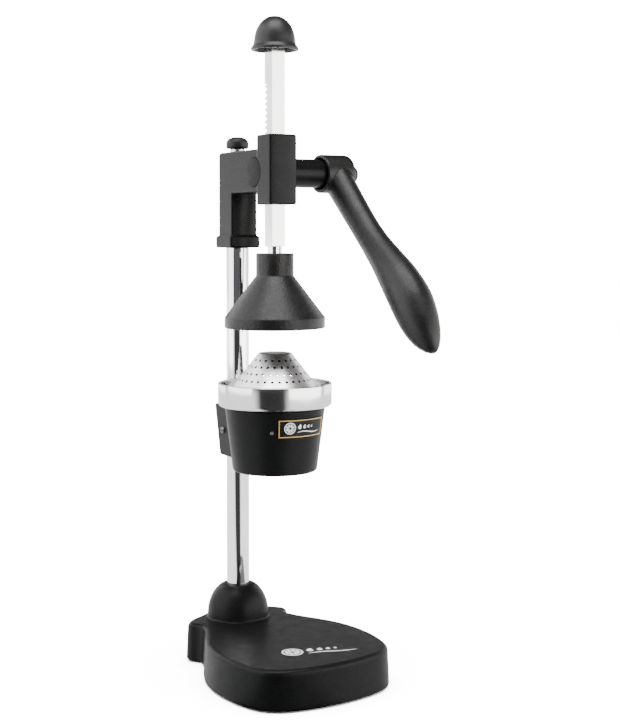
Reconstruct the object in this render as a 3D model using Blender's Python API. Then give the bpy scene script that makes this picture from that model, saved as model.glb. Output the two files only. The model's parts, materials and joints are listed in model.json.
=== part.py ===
"""Hand lever citrus press: base, column, rack-and-pinion head, lever, presser cone and juice bowl.

Lengths in this file are millimetres and are turned into metres where meshes are made.
Heights are above the table. Plan positions are taken from the column's axis: +X is the side
the lever is on, -Y is the front. The origin is on the table, below the middle of the whole press.
"""
import math

import bmesh
import bpy
from mathutils import Matrix, Vector

MM = 0.001
GAP = 0.3                     # clearance between pieces that touch

# Driving dimensions
COLUMN_X = -10.3              # column axis, from the origin
COLUMN_Y = 77.4
ARM = 64.0                    # column axis to the rack and bowl axis
TUBE_R = 9.5
TUBE_WALL = 1.5
TUBE_BOTTOM = 14.3
TUBE_TOP = 415.7

BASE_BOTTOM = 1.5
BASE_TOP = 32.0
BASE_EDGE = 3.5               # rounding of the base's top edge
BASE_DRAFT = 1.2
BASE_WALL = 4.0
BASE_DECK = 5.0
# half of the base in plan, from the middle of the front to the middle of the back
BASE_OUTLINE = [(0.0, -156.0), (25.0, -153.8), (46.0, -147.8), (59.2, -135.5), (66.0, -113.0),
                (67.5, -87.0), (63.5, -63.0), (56.0, -45.0), (47.0, -28.0), (41.5, -14.0),
                (43.0, -7.0), (46.5, -3.0), (46.0, 4.0), (38.0, 12.5), (24.5, 19.5), (13.0, 27.0),
                (0.0, 29.5)]
BASE_TURN = math.radians(1.5)         # the base is bolted on turned a little towards the lever
DOME_R = 26.0
DOME_TOP = 60.5
BOSS_R = 16.0
BOSS_BOTTOM = 9.0
BOLT_R = 4.0                  # the bolt that holds the column, from below
BOLT_HEAD_LOW = 1.8
BOLT_ACROSS = 13.0
BOLT_TOP = 32.3
WASHER = 1.5                  # thickness of the plain washers
TUBE_PLUG = 20.0              # length of the plugs in the tube
FOOT_R = 8.0
FOOT_HIGH = 4.0               # top of the foot's pad
FOOT_STEM_R = 2.5
FOOT_STEM_TOP = 11.0
FOOT_PLACES = {"front_left": (-44.0, -118.0), "front_right": (44.0, -118.0),
               "rear_left": (-27.5, -1.0), "rear_right": (27.5, -1.0)}

HEAD_HALF = 12.0              # half the width of the head's bridge and socket
BLOCK_HALF = 12.4             # half the width of the rack block
BLOCK_FRONT = -77.7           # its front corners; the front swells out from there
FRONT_SWELL = 2.0
BLOCK_BACK = -55.8
BLOCK_LOW = 380.0
BLOCK_HIGH = 436.0
BRIDGE_LOW = 390.0
BRIDGE_HIGH = 425.0
SOCKET_FRONT = -12.0
SOCKET_BACK = 11.5
SOCKET_LOW = 345.0
FLANGE_HIGH = 355.0
FLANGE_OVER = 2.0             # how far the socket's collar stands out
SEAT_R = 7.4                  # the collar's seat on top of the bridge
SEAT_DEPTH = 2.0
COLLAR_R = 6.0                # collar under the knob
BRAKE_Z = 388.0               # screw that presses a pad on the rack
BRAKE_R = 2.6
BRAKE_PAD = 2.0

MODULE = 1.5                  # rack and pinion tooth size
TEETH = 12
PRESSURE_ANGLE = math.radians(20.0)
BACKLASH = 0.5
RACK_ADDENDUM = 0.95
RACK_DEDENDUM = 1.9
RACK_TEETH = 19
RACK_HALF = 6.0
RACK_LOW = 346.6
RACK_HIGH = 520.6
RACK_TOOTH_LOW = 388.0
PINION_TIP_R = 10.45
PINION_ROOT_R = 7.1
PINION_HALF = 6.5
PITCH = math.pi * MODULE
PITCH_R = MODULE * TEETH / 2
PINION_Y = -ARM + RACK_HALF - MODULE + PITCH_R
PINION_Z = 406.5

SHAFT_R = 6.0
BORE_R = SHAFT_R + GAP
BOSS_END = 58.0               # outer end of the head's shaft boss
BOSS_OUTER_R = 11.8
BUSH_R = 8.0
BUSH_LENGTH = 15.0
PLUG_R = 12.0                 # cover over the pinion, in the block's left face
PLUG_DEPTH = 3.0
PLUG_PROUD = 0.2
JOURNAL_R = 5.0               # the shaft's left end, which runs in the cover
HUB_START = 50.0
HUB_END = 77.0
HUB_FLOOR = 60.0              # bottom of the recess that takes the boss's end
HUB_R = 16.0
HUB_RECESS_R = 13.2
STUB_R = 3.0                  # the shaft's threaded right end
STUB_END = 83.5
CAP_NUT_R = 7.6
CAP_NUT_END = 85.6
GRUB_X = 69.0                 # screw that locks the lever on its shaft
GRUB_R = 2.5

LEVER_ANGLE = math.radians(45.0)      # forward of straight down
LEVER_ROOT_X = 64.0
LEVER_SPLAY = 0.04
# distance from the pinion axis, half thickness, lift of the centre line
LEVER_SECTIONS = [(2.0, 13.4, 1.2), (34.0, 12.5, 0.3), (64.0, 12.0, -0.2), (84.0, 12.6, 0.5),
                  (104.0, 14.4, 2.0), (122.0, 16.6, 2.8), (138.0, 17.8, 2.4), (150.0, 18.0, 1.2),
                  (161.0, 17.0, -0.8), (171.0, 14.9, -2.6), (180.0, 11.7, -3.8), (187.5, 7.4, -4.4),
                  (192.0, 3.2, -4.6)]
LEVER_TIP = (193.5, -4.6)
LEVER_FLATTEN = 0.92          # the arm's width along the shaft, as part of its thickness

PRESSER_R = 40.5
PRESSER_NECK_R = 15.2
PRESSER_LOW = 281.0
PRESSER_SKIRT = 289.5
PRESSER_SHOULDER = 323.0
PRESSER_TOP = 341.0
PRESSER_MOUTH_R = 37.4        # the hollow: its mouth, its ceiling and the web above the bolt's recess
PRESSER_CEILING_R = 18.6
PRESSER_CEILING = 312.5
PRESSER_WEB = 317.0
PRESSER_RECESS_R = 9.3
PRESSER_BOLT_LOW = 310.8
PRESSER_BOLT_ACROSS = 10.0
PRESSER_BOLT_R = 3.0
PRESSER_BOLT_TOP = 332.0
SPIGOT_R = 5.5                # round end of the rack bar, in the presser's neck
SPIGOT_BORE_TOP = 333.0
CAP_LOW = 503.6               # cap on the rack bar
CAP_SPRING = 510.0            # where its dome springs from
CAP_TOP = 531.0
CAP_R = 16.6
CAP_BRIM_R = 19.1
CAP_SOCKET_R = 9.2

CONE_TOP_R = 13.7
CONE_TOP = 261.0
CONE_FOOT_R = 41.0
CONE_FOOT = 225.0
CONE_WALL = 0.9
CONE_FLANGE_R = 43.3
CONE_EDGE = 0.6               # chamfer round its top
CONE_SKIN = 1.15              # wall measured level
HOLE_R = 1.15
# height and number of holes of each row on the slope, radius and number on the top
HOLE_ROWS = [(255.6, 20), (250.6, 24), (245.2, 28), (239.8, 32)]
TOP_HOLES = [(3.6, 5), (8.6, 10)]

RING_R = 45.9
RING_LOW = 217.6
RING_HIGH = 237.0
RING_FLOOR = 223.7
RING_INNER_R = 43.7

BOWL_TOP_R = 40.5
BOWL_TOP = 217.3
BOWL_FOOT_R = 33.9
BOWL_LOW = 166.0
LIP_R = 38.3                  # the bowl's lip, which the ring fits over
LIP_TOP = 222.3
BOWL_WALL = 3.4
DRAIN_R = 8.0
DRAIN_OVER = 2.0              # wall of the spout round the drain
LUG_TOP = 213.0
LUG_BOTTOM = 169.0
LUG_FRONT = -30.0
LUG_LOW_HALF = 12.0
LUG_LOW_BACK = 12.8
LUG_TOP_HALF = 16.0
LUG_TOP_BACK = 14.3
CLAMP_Z = 191.5
CLAMP_R = 2.8
CLAMP_FACE = 14.4             # where the lug's left face is at that height
BADGE_LOW = 196.8
BADGE_HIGH = 211.6
BADGE_CENTRE = math.radians(6.0)
BADGE_SPAN = math.radians(64.0)
BADGE_THICK = 0.7
RIVET_R = 1.0
RIVET_ANGLE = math.radians(-33.0)
RIVET_Z = 201.0

KNOB_R = 9.5
KNOB_LOW = 428.5
KNOB_HIGH = 438.2
KNOB_SHOULDER = 432.0
STUD_R = 3.0
STUD_LOW = 398.7
STUD_TOP = 434.2

ROUND_LARGE = 32              # sides of the large turned pieces
ROUND_MEDIUM = 24
ROUND_SMALL = 12


def clear_scene():
    for item in list(bpy.data.objects):
        bpy.data.objects.remove(item, do_unlink=True)


def make_material(name, colour, roughness, metallic=0.0):
    material = bpy.data.materials.new(name)
    material.use_nodes = True
    shader = material.node_tree.nodes["Principled BSDF"]
    shader.inputs["Base Color"].default_value = (*colour, 1.0)
    shader.inputs["Roughness"].default_value = roughness
    shader.inputs["Metallic"].default_value = metallic
    material.diffuse_color = (*colour, 1.0)
    return material


def make_empty(name, parent, place):
    empty = bpy.data.objects.new(name, None)
    empty.parent = parent
    empty.location = Vector(place) * MM
    bpy.context.collection.objects.link(empty)
    return empty


def soften(corners, steps=3):
    """Points of a closed outline; a corner (x, y, radius) becomes an arc of that radius."""
    points = []
    count = len(corners)
    for index, (x, y, radius) in enumerate(corners):
        here = Vector((x, y))
        if radius <= 0:
            points.append((x, y))
            continue
        back = (Vector(corners[index - 1][:2]) - here).normalized()
        ahead = (Vector(corners[(index + 1) % count][:2]) - here).normalized()
        half = back.angle(ahead) / 2
        reach = radius / math.tan(half)
        centre = here + (back + ahead).normalized() * (radius / math.sin(half))
        first = here + back * reach - centre
        last = here + ahead * reach - centre
        turn = first.angle_signed(last)
        for step in range(steps + 1):
            spoke = Matrix.Rotation(-turn * step / steps, 2) @ first
            points.append(tuple(centre + spoke))
    return points


def smooth_loop(anchors, steps):
    """A closed curve through the anchors (Catmull-Rom)."""
    points = []
    count = len(anchors)
    for index in range(count):
        p0, p1, p2, p3 = (Vector(anchors[(index + shift) % count]) for shift in (-1, 0, 1, 2))
        for step in range(steps):
            t = step / steps
            point = (2 * p1 + (p2 - p0) * t + (2 * p0 - 5 * p1 + 4 * p2 - p3) * t ** 2
                     + (3 * p1 - p0 - 3 * p2 + p3) * t ** 3) / 2
            points.append(tuple(point))
    return points


def offset_loop(points, distance):
    """The loop moved along its outward normals; the loop runs anticlockwise."""
    moved = []
    count = len(points)
    for index, (x, y) in enumerate(points):
        before = Vector(points[index - 1])
        after = Vector(points[(index + 1) % count])
        along = (after - before).normalized()
        moved.append((x + along.y * distance, y - along.x * distance))
    return moved


def mesh_object(name, bm, material, parent, place=(0.0, 0.0, 0.0)):
    """Link the mesh as an object, with its lengths turned into metres."""
    bmesh.ops.scale(bm, vec=(MM, MM, MM), verts=bm.verts)
    bmesh.ops.recalc_face_normals(bm, faces=bm.faces)
    mesh = bpy.data.meshes.new(name)
    bm.to_mesh(mesh)
    bm.free()
    if material:
        mesh.materials.append(material)
    mesh.shade_smooth()
    mesh.set_sharp_from_angle(angle=math.radians(35.0))
    item = bpy.data.objects.new(name, mesh)
    item.parent = parent
    item.location = Vector(place) * MM
    bpy.context.collection.objects.link(item)
    return item


def loft(loops, closed=False):
    """Skin from loop to loop. A loop of one point is a pole; open lofts are capped."""
    bm = bmesh.new()
    rings = [[bm.verts.new(point) for point in loop] for loop in loops]
    pairs = list(zip(rings, rings[1:]))
    if closed:
        pairs.append((rings[-1], rings[0]))
    else:
        for cap in (rings[0], rings[-1]):
            if len(cap) > 1:
                bm.faces.new(cap)
    for low, high in pairs:
        count = max(len(low), len(high))
        for index in range(count):
            after = (index + 1) % count
            if len(low) == 1:
                bm.faces.new((low[0], high[index], high[after]))
            elif len(high) == 1:
                bm.faces.new((low[index], low[after], high[0]))
            else:
                bm.faces.new((low[index], low[after], high[after], high[index]))
    return bm


def turned(profile, sides, axis="Z"):
    """Solid of revolution of (radius, height) points; it is a ring if no point is on the axis."""
    loops = []
    for radius, height in profile:
        if radius < 1e-6:
            loops.append([(0.0, 0.0, height)])
            continue
        turn = [math.tau * index / sides for index in range(sides)]
        loops.append([(radius * math.cos(a), radius * math.sin(a), height) for a in turn])
    bm = loft(loops, closed=all(len(loop) > 1 for loop in loops))
    if axis == "X":
        bmesh.ops.rotate(bm, matrix=Matrix.Rotation(math.radians(90.0), 3, "Y"), verts=bm.verts)
    return bm


def disc_profile(radius, low, high, edge=0.0):
    """A plain cylinder's profile, with its rims broken by a small chamfer."""
    if edge == 0.0:
        return [(0.0, high), (radius, high), (radius, low), (0.0, low)]
    return [(0.0, high), (radius - edge, high), (radius, high - edge),
            (radius, low + edge), (radius - edge, low), (0.0, low)]


def tube_profile(outer, inner, low, high):
    return [(outer, high), (outer, low), (inner, low), (inner, high)]


def prism(outline, low, high):
    """The outline pulled up from one height to another."""
    return loft([[(x, y, height) for x, y in outline] for height in (low, high)])


def side_prism(outline, half_width):
    """An outline of (y, z) points with a width along X on both sides of the middle."""
    return loft([[(x, y, z) for y, z in outline] for x in (-half_width, half_width)])


def block(low, high):
    return prism([(low[0], low[1]), (high[0], low[1]), (high[0], high[1]), (low[0], high[1])],
                 low[2], high[2])


def swelled_block(half, front, back, low, high, steps=6):
    """A block in plan whose front face is a shallow arc."""
    radius = (half ** 2 + FRONT_SWELL ** 2) / (2 * FRONT_SWELL)
    spread = math.asin(half / radius)
    outline = []
    for step in range(steps + 1):
        angle = spread * (2 * step / steps - 1)
        outline.append((radius * math.sin(angle), front + radius * (math.cos(spread) - math.cos(angle))))
    return prism(outline + [(half, back), (-half, back)], low, high)


def add_bevel(item, width, segments=2):
    bevel = item.modifiers.new("edges", "BEVEL")
    bevel.width = width * MM
    bevel.segments = segments
    bevel.limit_method = "ANGLE"
    bevel.angle_limit = math.radians(40.0)


def combine(item, bm, operation, place=(0.0, 0.0, 0.0), bevel=0.0):
    """Join a tool shape to the item, or cut the item with it; the tool stays as a hidden guide."""
    tool = mesh_object(item.name + "_tool", bm, None, item.parent, Vector(item.location) / MM + Vector(place))
    if bevel:
        add_bevel(tool, bevel)
    tool.hide_render = True
    tool.display_type = "WIRE"
    if item.modifiers:
        flat = item.modifiers.new("split_faces", "TRIANGULATE")
        flat.min_vertices = 5
    change = item.modifiers.new(operation.lower(), "BOOLEAN")
    change.operation = operation
    change.object = tool
    change.solver = "EXACT"


def join(item, bm, place=(0.0, 0.0, 0.0), bevel=0.0):
    combine(item, bm, "UNION", place, bevel)


def cut(item, bm, place=(0.0, 0.0, 0.0)):
    combine(item, bm, "DIFFERENCE", place)


# Base and column

def on_base(x, y):
    """A plan position on the base, turned with it about the column."""
    return tuple(Matrix.Rotation(BASE_TURN, 2) @ Vector((x, y)))


def base_outline():
    """The base in plan: a broad front, a waist, and a narrow lobe round the column."""
    mirrored = [(-x, y) for x, y in reversed(BASE_OUTLINE[1:-1])]
    return smooth_loop([on_base(x, y) for x, y in BASE_OUTLINE + mirrored], 2)


def dome_profile():
    """The swelling round the column's foot, above its inner boss."""
    rise = [(BOSS_R, BOSS_BOTTOM), (BOSS_R, BASE_TOP - 3.0), (DOME_R - 3.0, BASE_TOP - 2.0),
            (DOME_R + 1.5, BASE_TOP)]
    height = DOME_TOP - BASE_TOP
    swell = [(TUBE_R + 1.0 + (DOME_R - TUBE_R - 1.5) * (1.0 - t ** 2.3) ** 0.62, BASE_TOP + 0.6 + height * t)
             for t in (0.02, 0.25, 0.5, 0.7, 0.85, 0.95)]
    return [(0.0, BOSS_BOTTOM)] + rise + swell + [(TUBE_R + 1.0, DOME_TOP), (0.0, DOME_TOP)]


def make_base(material, parent):
    outline = base_outline()
    layers = [(BASE_DRAFT, BASE_BOTTOM), (0.0, BASE_TOP - BASE_EDGE)]
    for step in (30.0, 60.0, 90.0):
        turn = math.radians(step)
        layers.append((-BASE_EDGE * (1 - math.cos(turn)), BASE_TOP - BASE_EDGE * (1 - math.sin(turn))))
    loops = [[(x, y, z) for x, y in offset_loop(outline, out)] for out, z in layers]
    base = mesh_object("base_casting", loft(loops), material, parent)
    cut(base, prism(offset_loop(outline, -BASE_WALL), 0.0, BASE_TOP - BASE_DECK))
    join(base, turned(dome_profile(), ROUND_MEDIUM))
    for place in FOOT_PLACES.values():
        x, y = on_base(*place)
        pillar = disc_profile(FOOT_R + 1.5, FOOT_HIGH + GAP, BASE_TOP - 2.0)
        join(base, turned(pillar, ROUND_SMALL), (x, y, 0.0))
        stem_hole = disc_profile(FOOT_STEM_R + GAP, FOOT_HIGH, FOOT_STEM_TOP + 1.0)
        cut(base, turned(stem_hole, ROUND_SMALL), (x, y, 0.0))
    bore = [(0.0, DOME_TOP + 2.0), (TUBE_R + GAP, DOME_TOP + 2.0), (TUBE_R + GAP, TUBE_BOTTOM - GAP),
            (BOLT_R + GAP, TUBE_BOTTOM - GAP), (BOLT_R + GAP, BOSS_BOTTOM - 2.0), (0.0, BOSS_BOTTOM - 2.0)]
    cut(base, turned(bore, ROUND_MEDIUM))


def make_foot(name, place, material, parent):
    profile = [(0.0, FOOT_STEM_TOP), (FOOT_STEM_R, FOOT_STEM_TOP), (FOOT_STEM_R, FOOT_HIGH),
               (FOOT_R, FOOT_HIGH), (FOOT_R, 0.8), (FOOT_R - 0.8, 0.0), (0.0, 0.0)]
    mesh_object(name, turned(profile, ROUND_SMALL), material, parent, (*on_base(*place), 0.0))


def make_column(chrome, steel, parent):
    tube = tube_profile(TUBE_R, TUBE_R - TUBE_WALL, TUBE_BOTTOM, TUBE_TOP)
    mesh_object("column_tube", turned(tube, ROUND_MEDIUM), chrome, parent)
    plug_r = TUBE_R - TUBE_WALL - GAP
    low_plug = tube_profile(plug_r, BOLT_R + GAP, TUBE_BOTTOM, TUBE_BOTTOM + TUBE_PLUG)
    mesh_object("tube_bottom_plug", turned(low_plug, ROUND_SMALL), steel, parent)
    high_plug = tube_profile(plug_r, STUD_R + GAP, TUBE_TOP - TUBE_PLUG, TUBE_TOP)
    mesh_object("tube_top_plug", turned(high_plug, ROUND_SMALL), steel, parent)
    washer = tube_profile(10.0, BOLT_R + GAP, BOSS_BOTTOM - GAP - WASHER, BOSS_BOTTOM - GAP)
    mesh_object("base_washer", turned(washer, ROUND_SMALL), steel, parent)


def hex_bolt(name, head_low, head_high, across, shank_r, shank_top, material, parent, place=(0, 0, 0)):
    """A hexagon head below a plain shank, as one solid."""
    corner = across / math.sqrt(3.0)
    bm = turned([(0.0, head_high), (corner, head_high), (corner, head_low), (0.0, head_low)], 6)
    bolt = mesh_object(name, bm, material, parent, place)
    join(bolt, turned(disc_profile(shank_r, head_high - 1.0, shank_top, 0.5), ROUND_SMALL))


# Head

def make_head(material, parent):
    silhouette = [(BLOCK_BACK - 8.0, BRIDGE_LOW), (SOCKET_FRONT, BRIDGE_LOW), (SOCKET_FRONT, SOCKET_LOW),
                  (SOCKET_BACK, SOCKET_LOW), (SOCKET_BACK, BRIDGE_HIGH), (BLOCK_BACK - 8.0, BRIDGE_HIGH)]
    head = mesh_object("head_casting", side_prism(silhouette, HEAD_HALF), material, parent)
    add_bevel(head, 1.2)
    join(head, swelled_block(BLOCK_HALF, BLOCK_FRONT, BLOCK_BACK, BLOCK_LOW, BLOCK_HIGH), bevel=1.2)
    socket = swelled_block(HEAD_HALF, SOCKET_FRONT, 0.0, SOCKET_LOW + 1.0, BRIDGE_LOW + 2.0)
    join(head, socket, bevel=0.8)
    flange = swelled_block(HEAD_HALF + FLANGE_OVER, SOCKET_FRONT - FLANGE_OVER, SOCKET_BACK + FLANGE_OVER,
                           SOCKET_LOW, FLANGE_HIGH)
    join(head, flange, bevel=1.2)
    shaft_place = (0.0, PINION_Y, PINION_Z)
    join(head, turned(disc_profile(BOSS_OUTER_R, 0.0, BOSS_END), ROUND_MEDIUM, "X"), shaft_place)
    cut(head, turned(shaft_bore(), ROUND_MEDIUM, "X"), shaft_place)
    slot = RACK_HALF + GAP
    cut(head, block((-slot, -ARM - slot, BLOCK_LOW - 5.0), (slot, -ARM + slot, BLOCK_HIGH + 5.0)))
    cut(head, turned(column_bore(), ROUND_MEDIUM))
    cut(head, turned(disc_profile(BRAKE_R + GAP, RACK_HALF, BLOCK_HALF + 2.0), ROUND_SMALL, "X"),
        (0.0, -ARM, BRAKE_Z))


def shaft_bore():
    """Stepped bore for the plug, the pinion and the two bushes, from the left face to the boss's end."""
    left = -BLOCK_HALF - 2.0
    return [(0.0, BOSS_END + 2.0), (BUSH_R + GAP, BOSS_END + 2.0),
            (BUSH_R + GAP, BOSS_END - BUSH_LENGTH - GAP), (BORE_R, BOSS_END - BUSH_LENGTH - GAP),
            (BORE_R, PINION_HALF + BUSH_LENGTH + 2 * GAP), (BUSH_R + GAP, PINION_HALF + BUSH_LENGTH + 2 * GAP),
            (BUSH_R + GAP, PINION_HALF + GAP), (PINION_TIP_R + 2 * GAP, PINION_HALF + GAP),
            (PINION_TIP_R + 2 * GAP, PLUG_DEPTH - BLOCK_HALF), (PLUG_R + GAP, PLUG_DEPTH - BLOCK_HALF),
            (PLUG_R + GAP, left), (0.0, left)]


def column_bore():
    """Bore for the tube, the stud's hole above it and the washer's seat on top."""
    tube_end = TUBE_TOP + GAP
    seat = BRIDGE_HIGH - SEAT_DEPTH
    return [(0.0, BRIDGE_HIGH + 2.0), (SEAT_R, BRIDGE_HIGH + 2.0), (SEAT_R, seat), (STUD_R + GAP, seat),
            (STUD_R + GAP, tube_end), (TUBE_R + GAP, tube_end), (TUBE_R + GAP, SOCKET_LOW - 2.0),
            (0.0, SOCKET_LOW - 2.0)]


def make_head_fittings(black, bronze, steel, parent):
    axis = (0.0, PINION_Y, PINION_Z)
    left = -BLOCK_HALF - PLUG_PROUD
    step = PLUG_DEPTH - GAP - BLOCK_HALF
    end = -PINION_HALF - 0.5
    plug = [(0.0, left + 1.4), (JOURNAL_R + GAP, left + 1.4), (JOURNAL_R + GAP, end), (PINION_TIP_R, end),
            (PINION_TIP_R, step), (PLUG_R, step), (PLUG_R, left), (0.0, left)]
    mesh_object("pinion_plug", turned(plug, ROUND_MEDIUM, "X"), black, parent, axis)
    inner = tube_profile(BUSH_R, BORE_R, PINION_HALF + 2 * GAP, PINION_HALF + BUSH_LENGTH)
    mesh_object("bush_inner", turned(inner, ROUND_MEDIUM, "X"), bronze, parent, axis)
    outer = tube_profile(BUSH_R, BORE_R, BOSS_END - BUSH_LENGTH, BOSS_END)
    mesh_object("bush_outer", turned(outer, ROUND_MEDIUM, "X"), bronze, parent, axis)
    brake = (0.0, -ARM, BRAKE_Z)
    pad_end = RACK_HALF + GAP + BRAKE_PAD
    pad = turned(disc_profile(BRAKE_R, RACK_HALF + GAP, pad_end), ROUND_SMALL, "X")
    mesh_object("brake_pad", pad, bronze, parent, brake)
    screw = turned(disc_profile(BRAKE_R, pad_end + GAP, BLOCK_HALF + 1.0, 0.5), ROUND_SMALL, "X")
    brake_screw = mesh_object("brake_screw", screw, steel, parent, brake)
    cut(brake_screw, block((BLOCK_HALF, -0.4, -4.0), (BLOCK_HALF + 2.0, 0.4, 4.0)))
    seat = BRIDGE_HIGH - SEAT_DEPTH + GAP
    washer = tube_profile(COLLAR_R, STUD_R + GAP, seat, KNOB_LOW - GAP)
    mesh_object("knob_washer", turned(washer, ROUND_SMALL), steel, parent)


def make_knob(black, steel, parent):
    """The round nut on top of the head; its axis is the column's."""
    corners = [(0.0, KNOB_HIGH, 0.0), (KNOB_R - 2.5, KNOB_HIGH, 4.0), (KNOB_R, KNOB_SHOULDER, 1.5),
               (KNOB_R - 0.2, KNOB_LOW, 0.8), (STUD_R + GAP, KNOB_LOW, 0.0),
               (STUD_R + GAP, STUD_TOP + GAP, 0.0), (0.0, STUD_TOP + GAP, 0.0)]
    mesh_object("head_knob", turned(soften(corners, 2), ROUND_MEDIUM), black, parent)
    stud = turned(disc_profile(STUD_R, STUD_LOW, STUD_TOP, 0.5), ROUND_SMALL)
    mesh_object("knob_stud", stud, steel, parent)


# Rack and presser

def rack_outline():
    """Side view of the bar as (y, z), teeth on the back face from the lower toothed end upward."""
    back = RACK_HALF
    root = back - MODULE - RACK_DEDENDUM
    tip = back - MODULE + RACK_ADDENDUM
    slope = math.tan(PRESSURE_ANGLE)
    half_tip = (PITCH - BACKLASH) / 4 - RACK_ADDENDUM * slope
    half_root = (PITCH - BACKLASH) / 4 + RACK_DEDENDUM * slope
    points = [(-RACK_HALF, RACK_LOW), (back, RACK_LOW), (back, RACK_TOOTH_LOW)]
    first = PINION_Z + PITCH / 2 - PITCH * 4
    for tooth in range(RACK_TEETH):
        centre = first + PITCH * tooth
        points += [(root, centre - half_root), (tip, centre - half_tip), (tip, centre + half_tip),
                   (root, centre + half_root)]
    rack_end = first + PITCH * (RACK_TEETH - 0.5)
    points += [(back, rack_end), (back, RACK_HIGH), (-RACK_HALF, RACK_HIGH)]
    return points


def make_rack(steel, parent):
    rack = mesh_object("rack_bar", side_prism(rack_outline(), RACK_HALF), steel, parent)
    join(rack, turned(disc_profile(SPIGOT_R, PRESSER_WEB + GAP, RACK_LOW + 2.0), ROUND_MEDIUM))
    cut(rack, turned(disc_profile(PRESSER_BOLT_R + GAP, PRESSER_WEB - 2.0, SPIGOT_BORE_TOP), ROUND_SMALL))


def make_rack_cap(black, parent):
    """Domed cap with a flared brim; its hollow takes the end of the bar."""
    dome = []
    for degrees in (80.0, 68.0, 54.0, 38.0, 22.0, 8.0):
        turn = math.radians(degrees)
        dome.append((CAP_R * math.cos(turn), CAP_SPRING + (CAP_TOP - CAP_SPRING) * math.sin(turn)))
    brim = [(CAP_R + 0.2, CAP_SPRING - 1.0), (CAP_BRIM_R - 0.1, CAP_LOW + 2.2), (CAP_BRIM_R, CAP_LOW)]
    inside = [(CAP_BRIM_R - 2.1, CAP_LOW), (CAP_R - 2.0, CAP_LOW + 4.4), (CAP_R - 2.6, CAP_SPRING + 3.0),
              (CAP_SOCKET_R, CAP_SPRING + 5.0), (CAP_SOCKET_R, RACK_HIGH + GAP), (0.0, RACK_HIGH + GAP)]
    outside = [(0.0, CAP_TOP)] + dome + brim
    mesh_object("rack_cap", turned(outside + inside, ROUND_MEDIUM), black, parent)


def make_presser(black, steel, parent):
    corners = [(SPIGOT_R + GAP, PRESSER_TOP, 0.0), (PRESSER_NECK_R, PRESSER_TOP, 0.8),
               (PRESSER_NECK_R, PRESSER_SHOULDER, 1.5), (PRESSER_R, PRESSER_SKIRT, 1.5),
               (PRESSER_R, PRESSER_LOW, 0.8), (PRESSER_MOUTH_R + 0.2, PRESSER_LOW, 0.8),
               (PRESSER_MOUTH_R, PRESSER_LOW + 4.5, 0.0), (PRESSER_CEILING_R, PRESSER_CEILING, 2.0),
               (PRESSER_RECESS_R, PRESSER_CEILING, 0.0), (PRESSER_RECESS_R, PRESSER_WEB, 0.0),
               (SPIGOT_R + GAP, PRESSER_WEB, 0.0)]
    mesh_object("presser_cone", turned(soften(corners, 1), ROUND_LARGE), black, parent)
    washer_high = PRESSER_WEB - GAP
    washer = tube_profile(8.6, PRESSER_BOLT_R + GAP, washer_high - WASHER, washer_high)
    mesh_object("presser_washer", turned(washer, ROUND_SMALL), steel, parent)
    hex_bolt("presser_bolt", PRESSER_BOLT_LOW, washer_high - WASHER - GAP, PRESSER_BOLT_ACROSS, PRESSER_BOLT_R,
             PRESSER_BOLT_TOP, steel, parent)


# Lever

def lever_ring(distance, radius, lift, sides=20):
    """One oval section of the arm, square to the arm's direction."""
    along = Vector((0.0, -math.sin(LEVER_ANGLE), -math.cos(LEVER_ANGLE)))
    up = Vector((0.0, -math.cos(LEVER_ANGLE), math.sin(LEVER_ANGLE)))
    centre = along * distance + up * lift + Vector((LEVER_ROOT_X + LEVER_SPLAY * distance, 0.0, 0.0))
    ring = []
    for index in range(sides):
        turn = math.tau * index / sides
        across = Vector((1.0, 0.0, 0.0)) * (radius * LEVER_FLATTEN * math.cos(turn))
        ring.append(centre + across + up * (radius * math.sin(turn)))
    return ring


def make_lever(black, parent):
    loops = [lever_ring(*section) for section in LEVER_SECTIONS]
    loops.append([lever_ring(LEVER_TIP[0], 0.0, LEVER_TIP[1], 1)[0]])
    arm = mesh_object("lever_arm", loft(loops), black, parent)
    corners = [(0.0, HUB_END, 0.0), (HUB_R, HUB_END, 2.5), (HUB_R, HUB_START, 0.8), (0.0, HUB_START, 0.0)]
    join(arm, turned(soften(corners), ROUND_MEDIUM, "X"))
    bore = [(0.0, HUB_END + 2.0), (BORE_R, HUB_END + 2.0), (BORE_R, HUB_FLOOR), (HUB_RECESS_R, HUB_FLOOR),
            (HUB_RECESS_R, HUB_START - 4.0), (0.0, HUB_START - 4.0)]
    cut(arm, turned(bore, ROUND_MEDIUM, "X"))
    cut(arm, grub_shape(GRUB_R + GAP, SHAFT_R - 1.0, HUB_R + 2.0))


def grub_shape(radius, near, far):
    """A small cylinder that runs out of the shaft on the side away from the arm."""
    bm = turned(disc_profile(radius, near, far), ROUND_SMALL)
    lean = Matrix.Rotation(-LEVER_ANGLE, 3, "X")
    bmesh.ops.rotate(bm, matrix=lean, verts=bm.verts)
    bmesh.ops.translate(bm, vec=(GRUB_X, 0.0, 0.0), verts=bm.verts)
    return bm


def make_lever_fittings(black, steel, parent):
    mesh_object("lever_grub_screw", grub_shape(GRUB_R, SHAFT_R + GAP, HUB_R - 1.0), steel, parent)
    thrust = tube_profile(9.6, BORE_R, BOSS_END + GAP, HUB_FLOOR - GAP)
    mesh_object("thrust_washer", turned(thrust, ROUND_MEDIUM, "X"), steel, parent)
    corners = [(0.0, CAP_NUT_END, 0.0), (CAP_NUT_R - 1.4, CAP_NUT_END, 3.0), (CAP_NUT_R, CAP_NUT_END - 4.6, 1.0),
               (CAP_NUT_R, HUB_END + GAP, 0.0), (STUB_R + GAP, HUB_END + GAP, 0.0),
               (STUB_R + GAP, STUB_END + 0.5, 0.0), (0.0, STUB_END + 0.5, 0.0)]
    mesh_object("shaft_cap_nut", turned(soften(corners, 2), ROUND_SMALL, "X"), black, parent)


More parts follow.
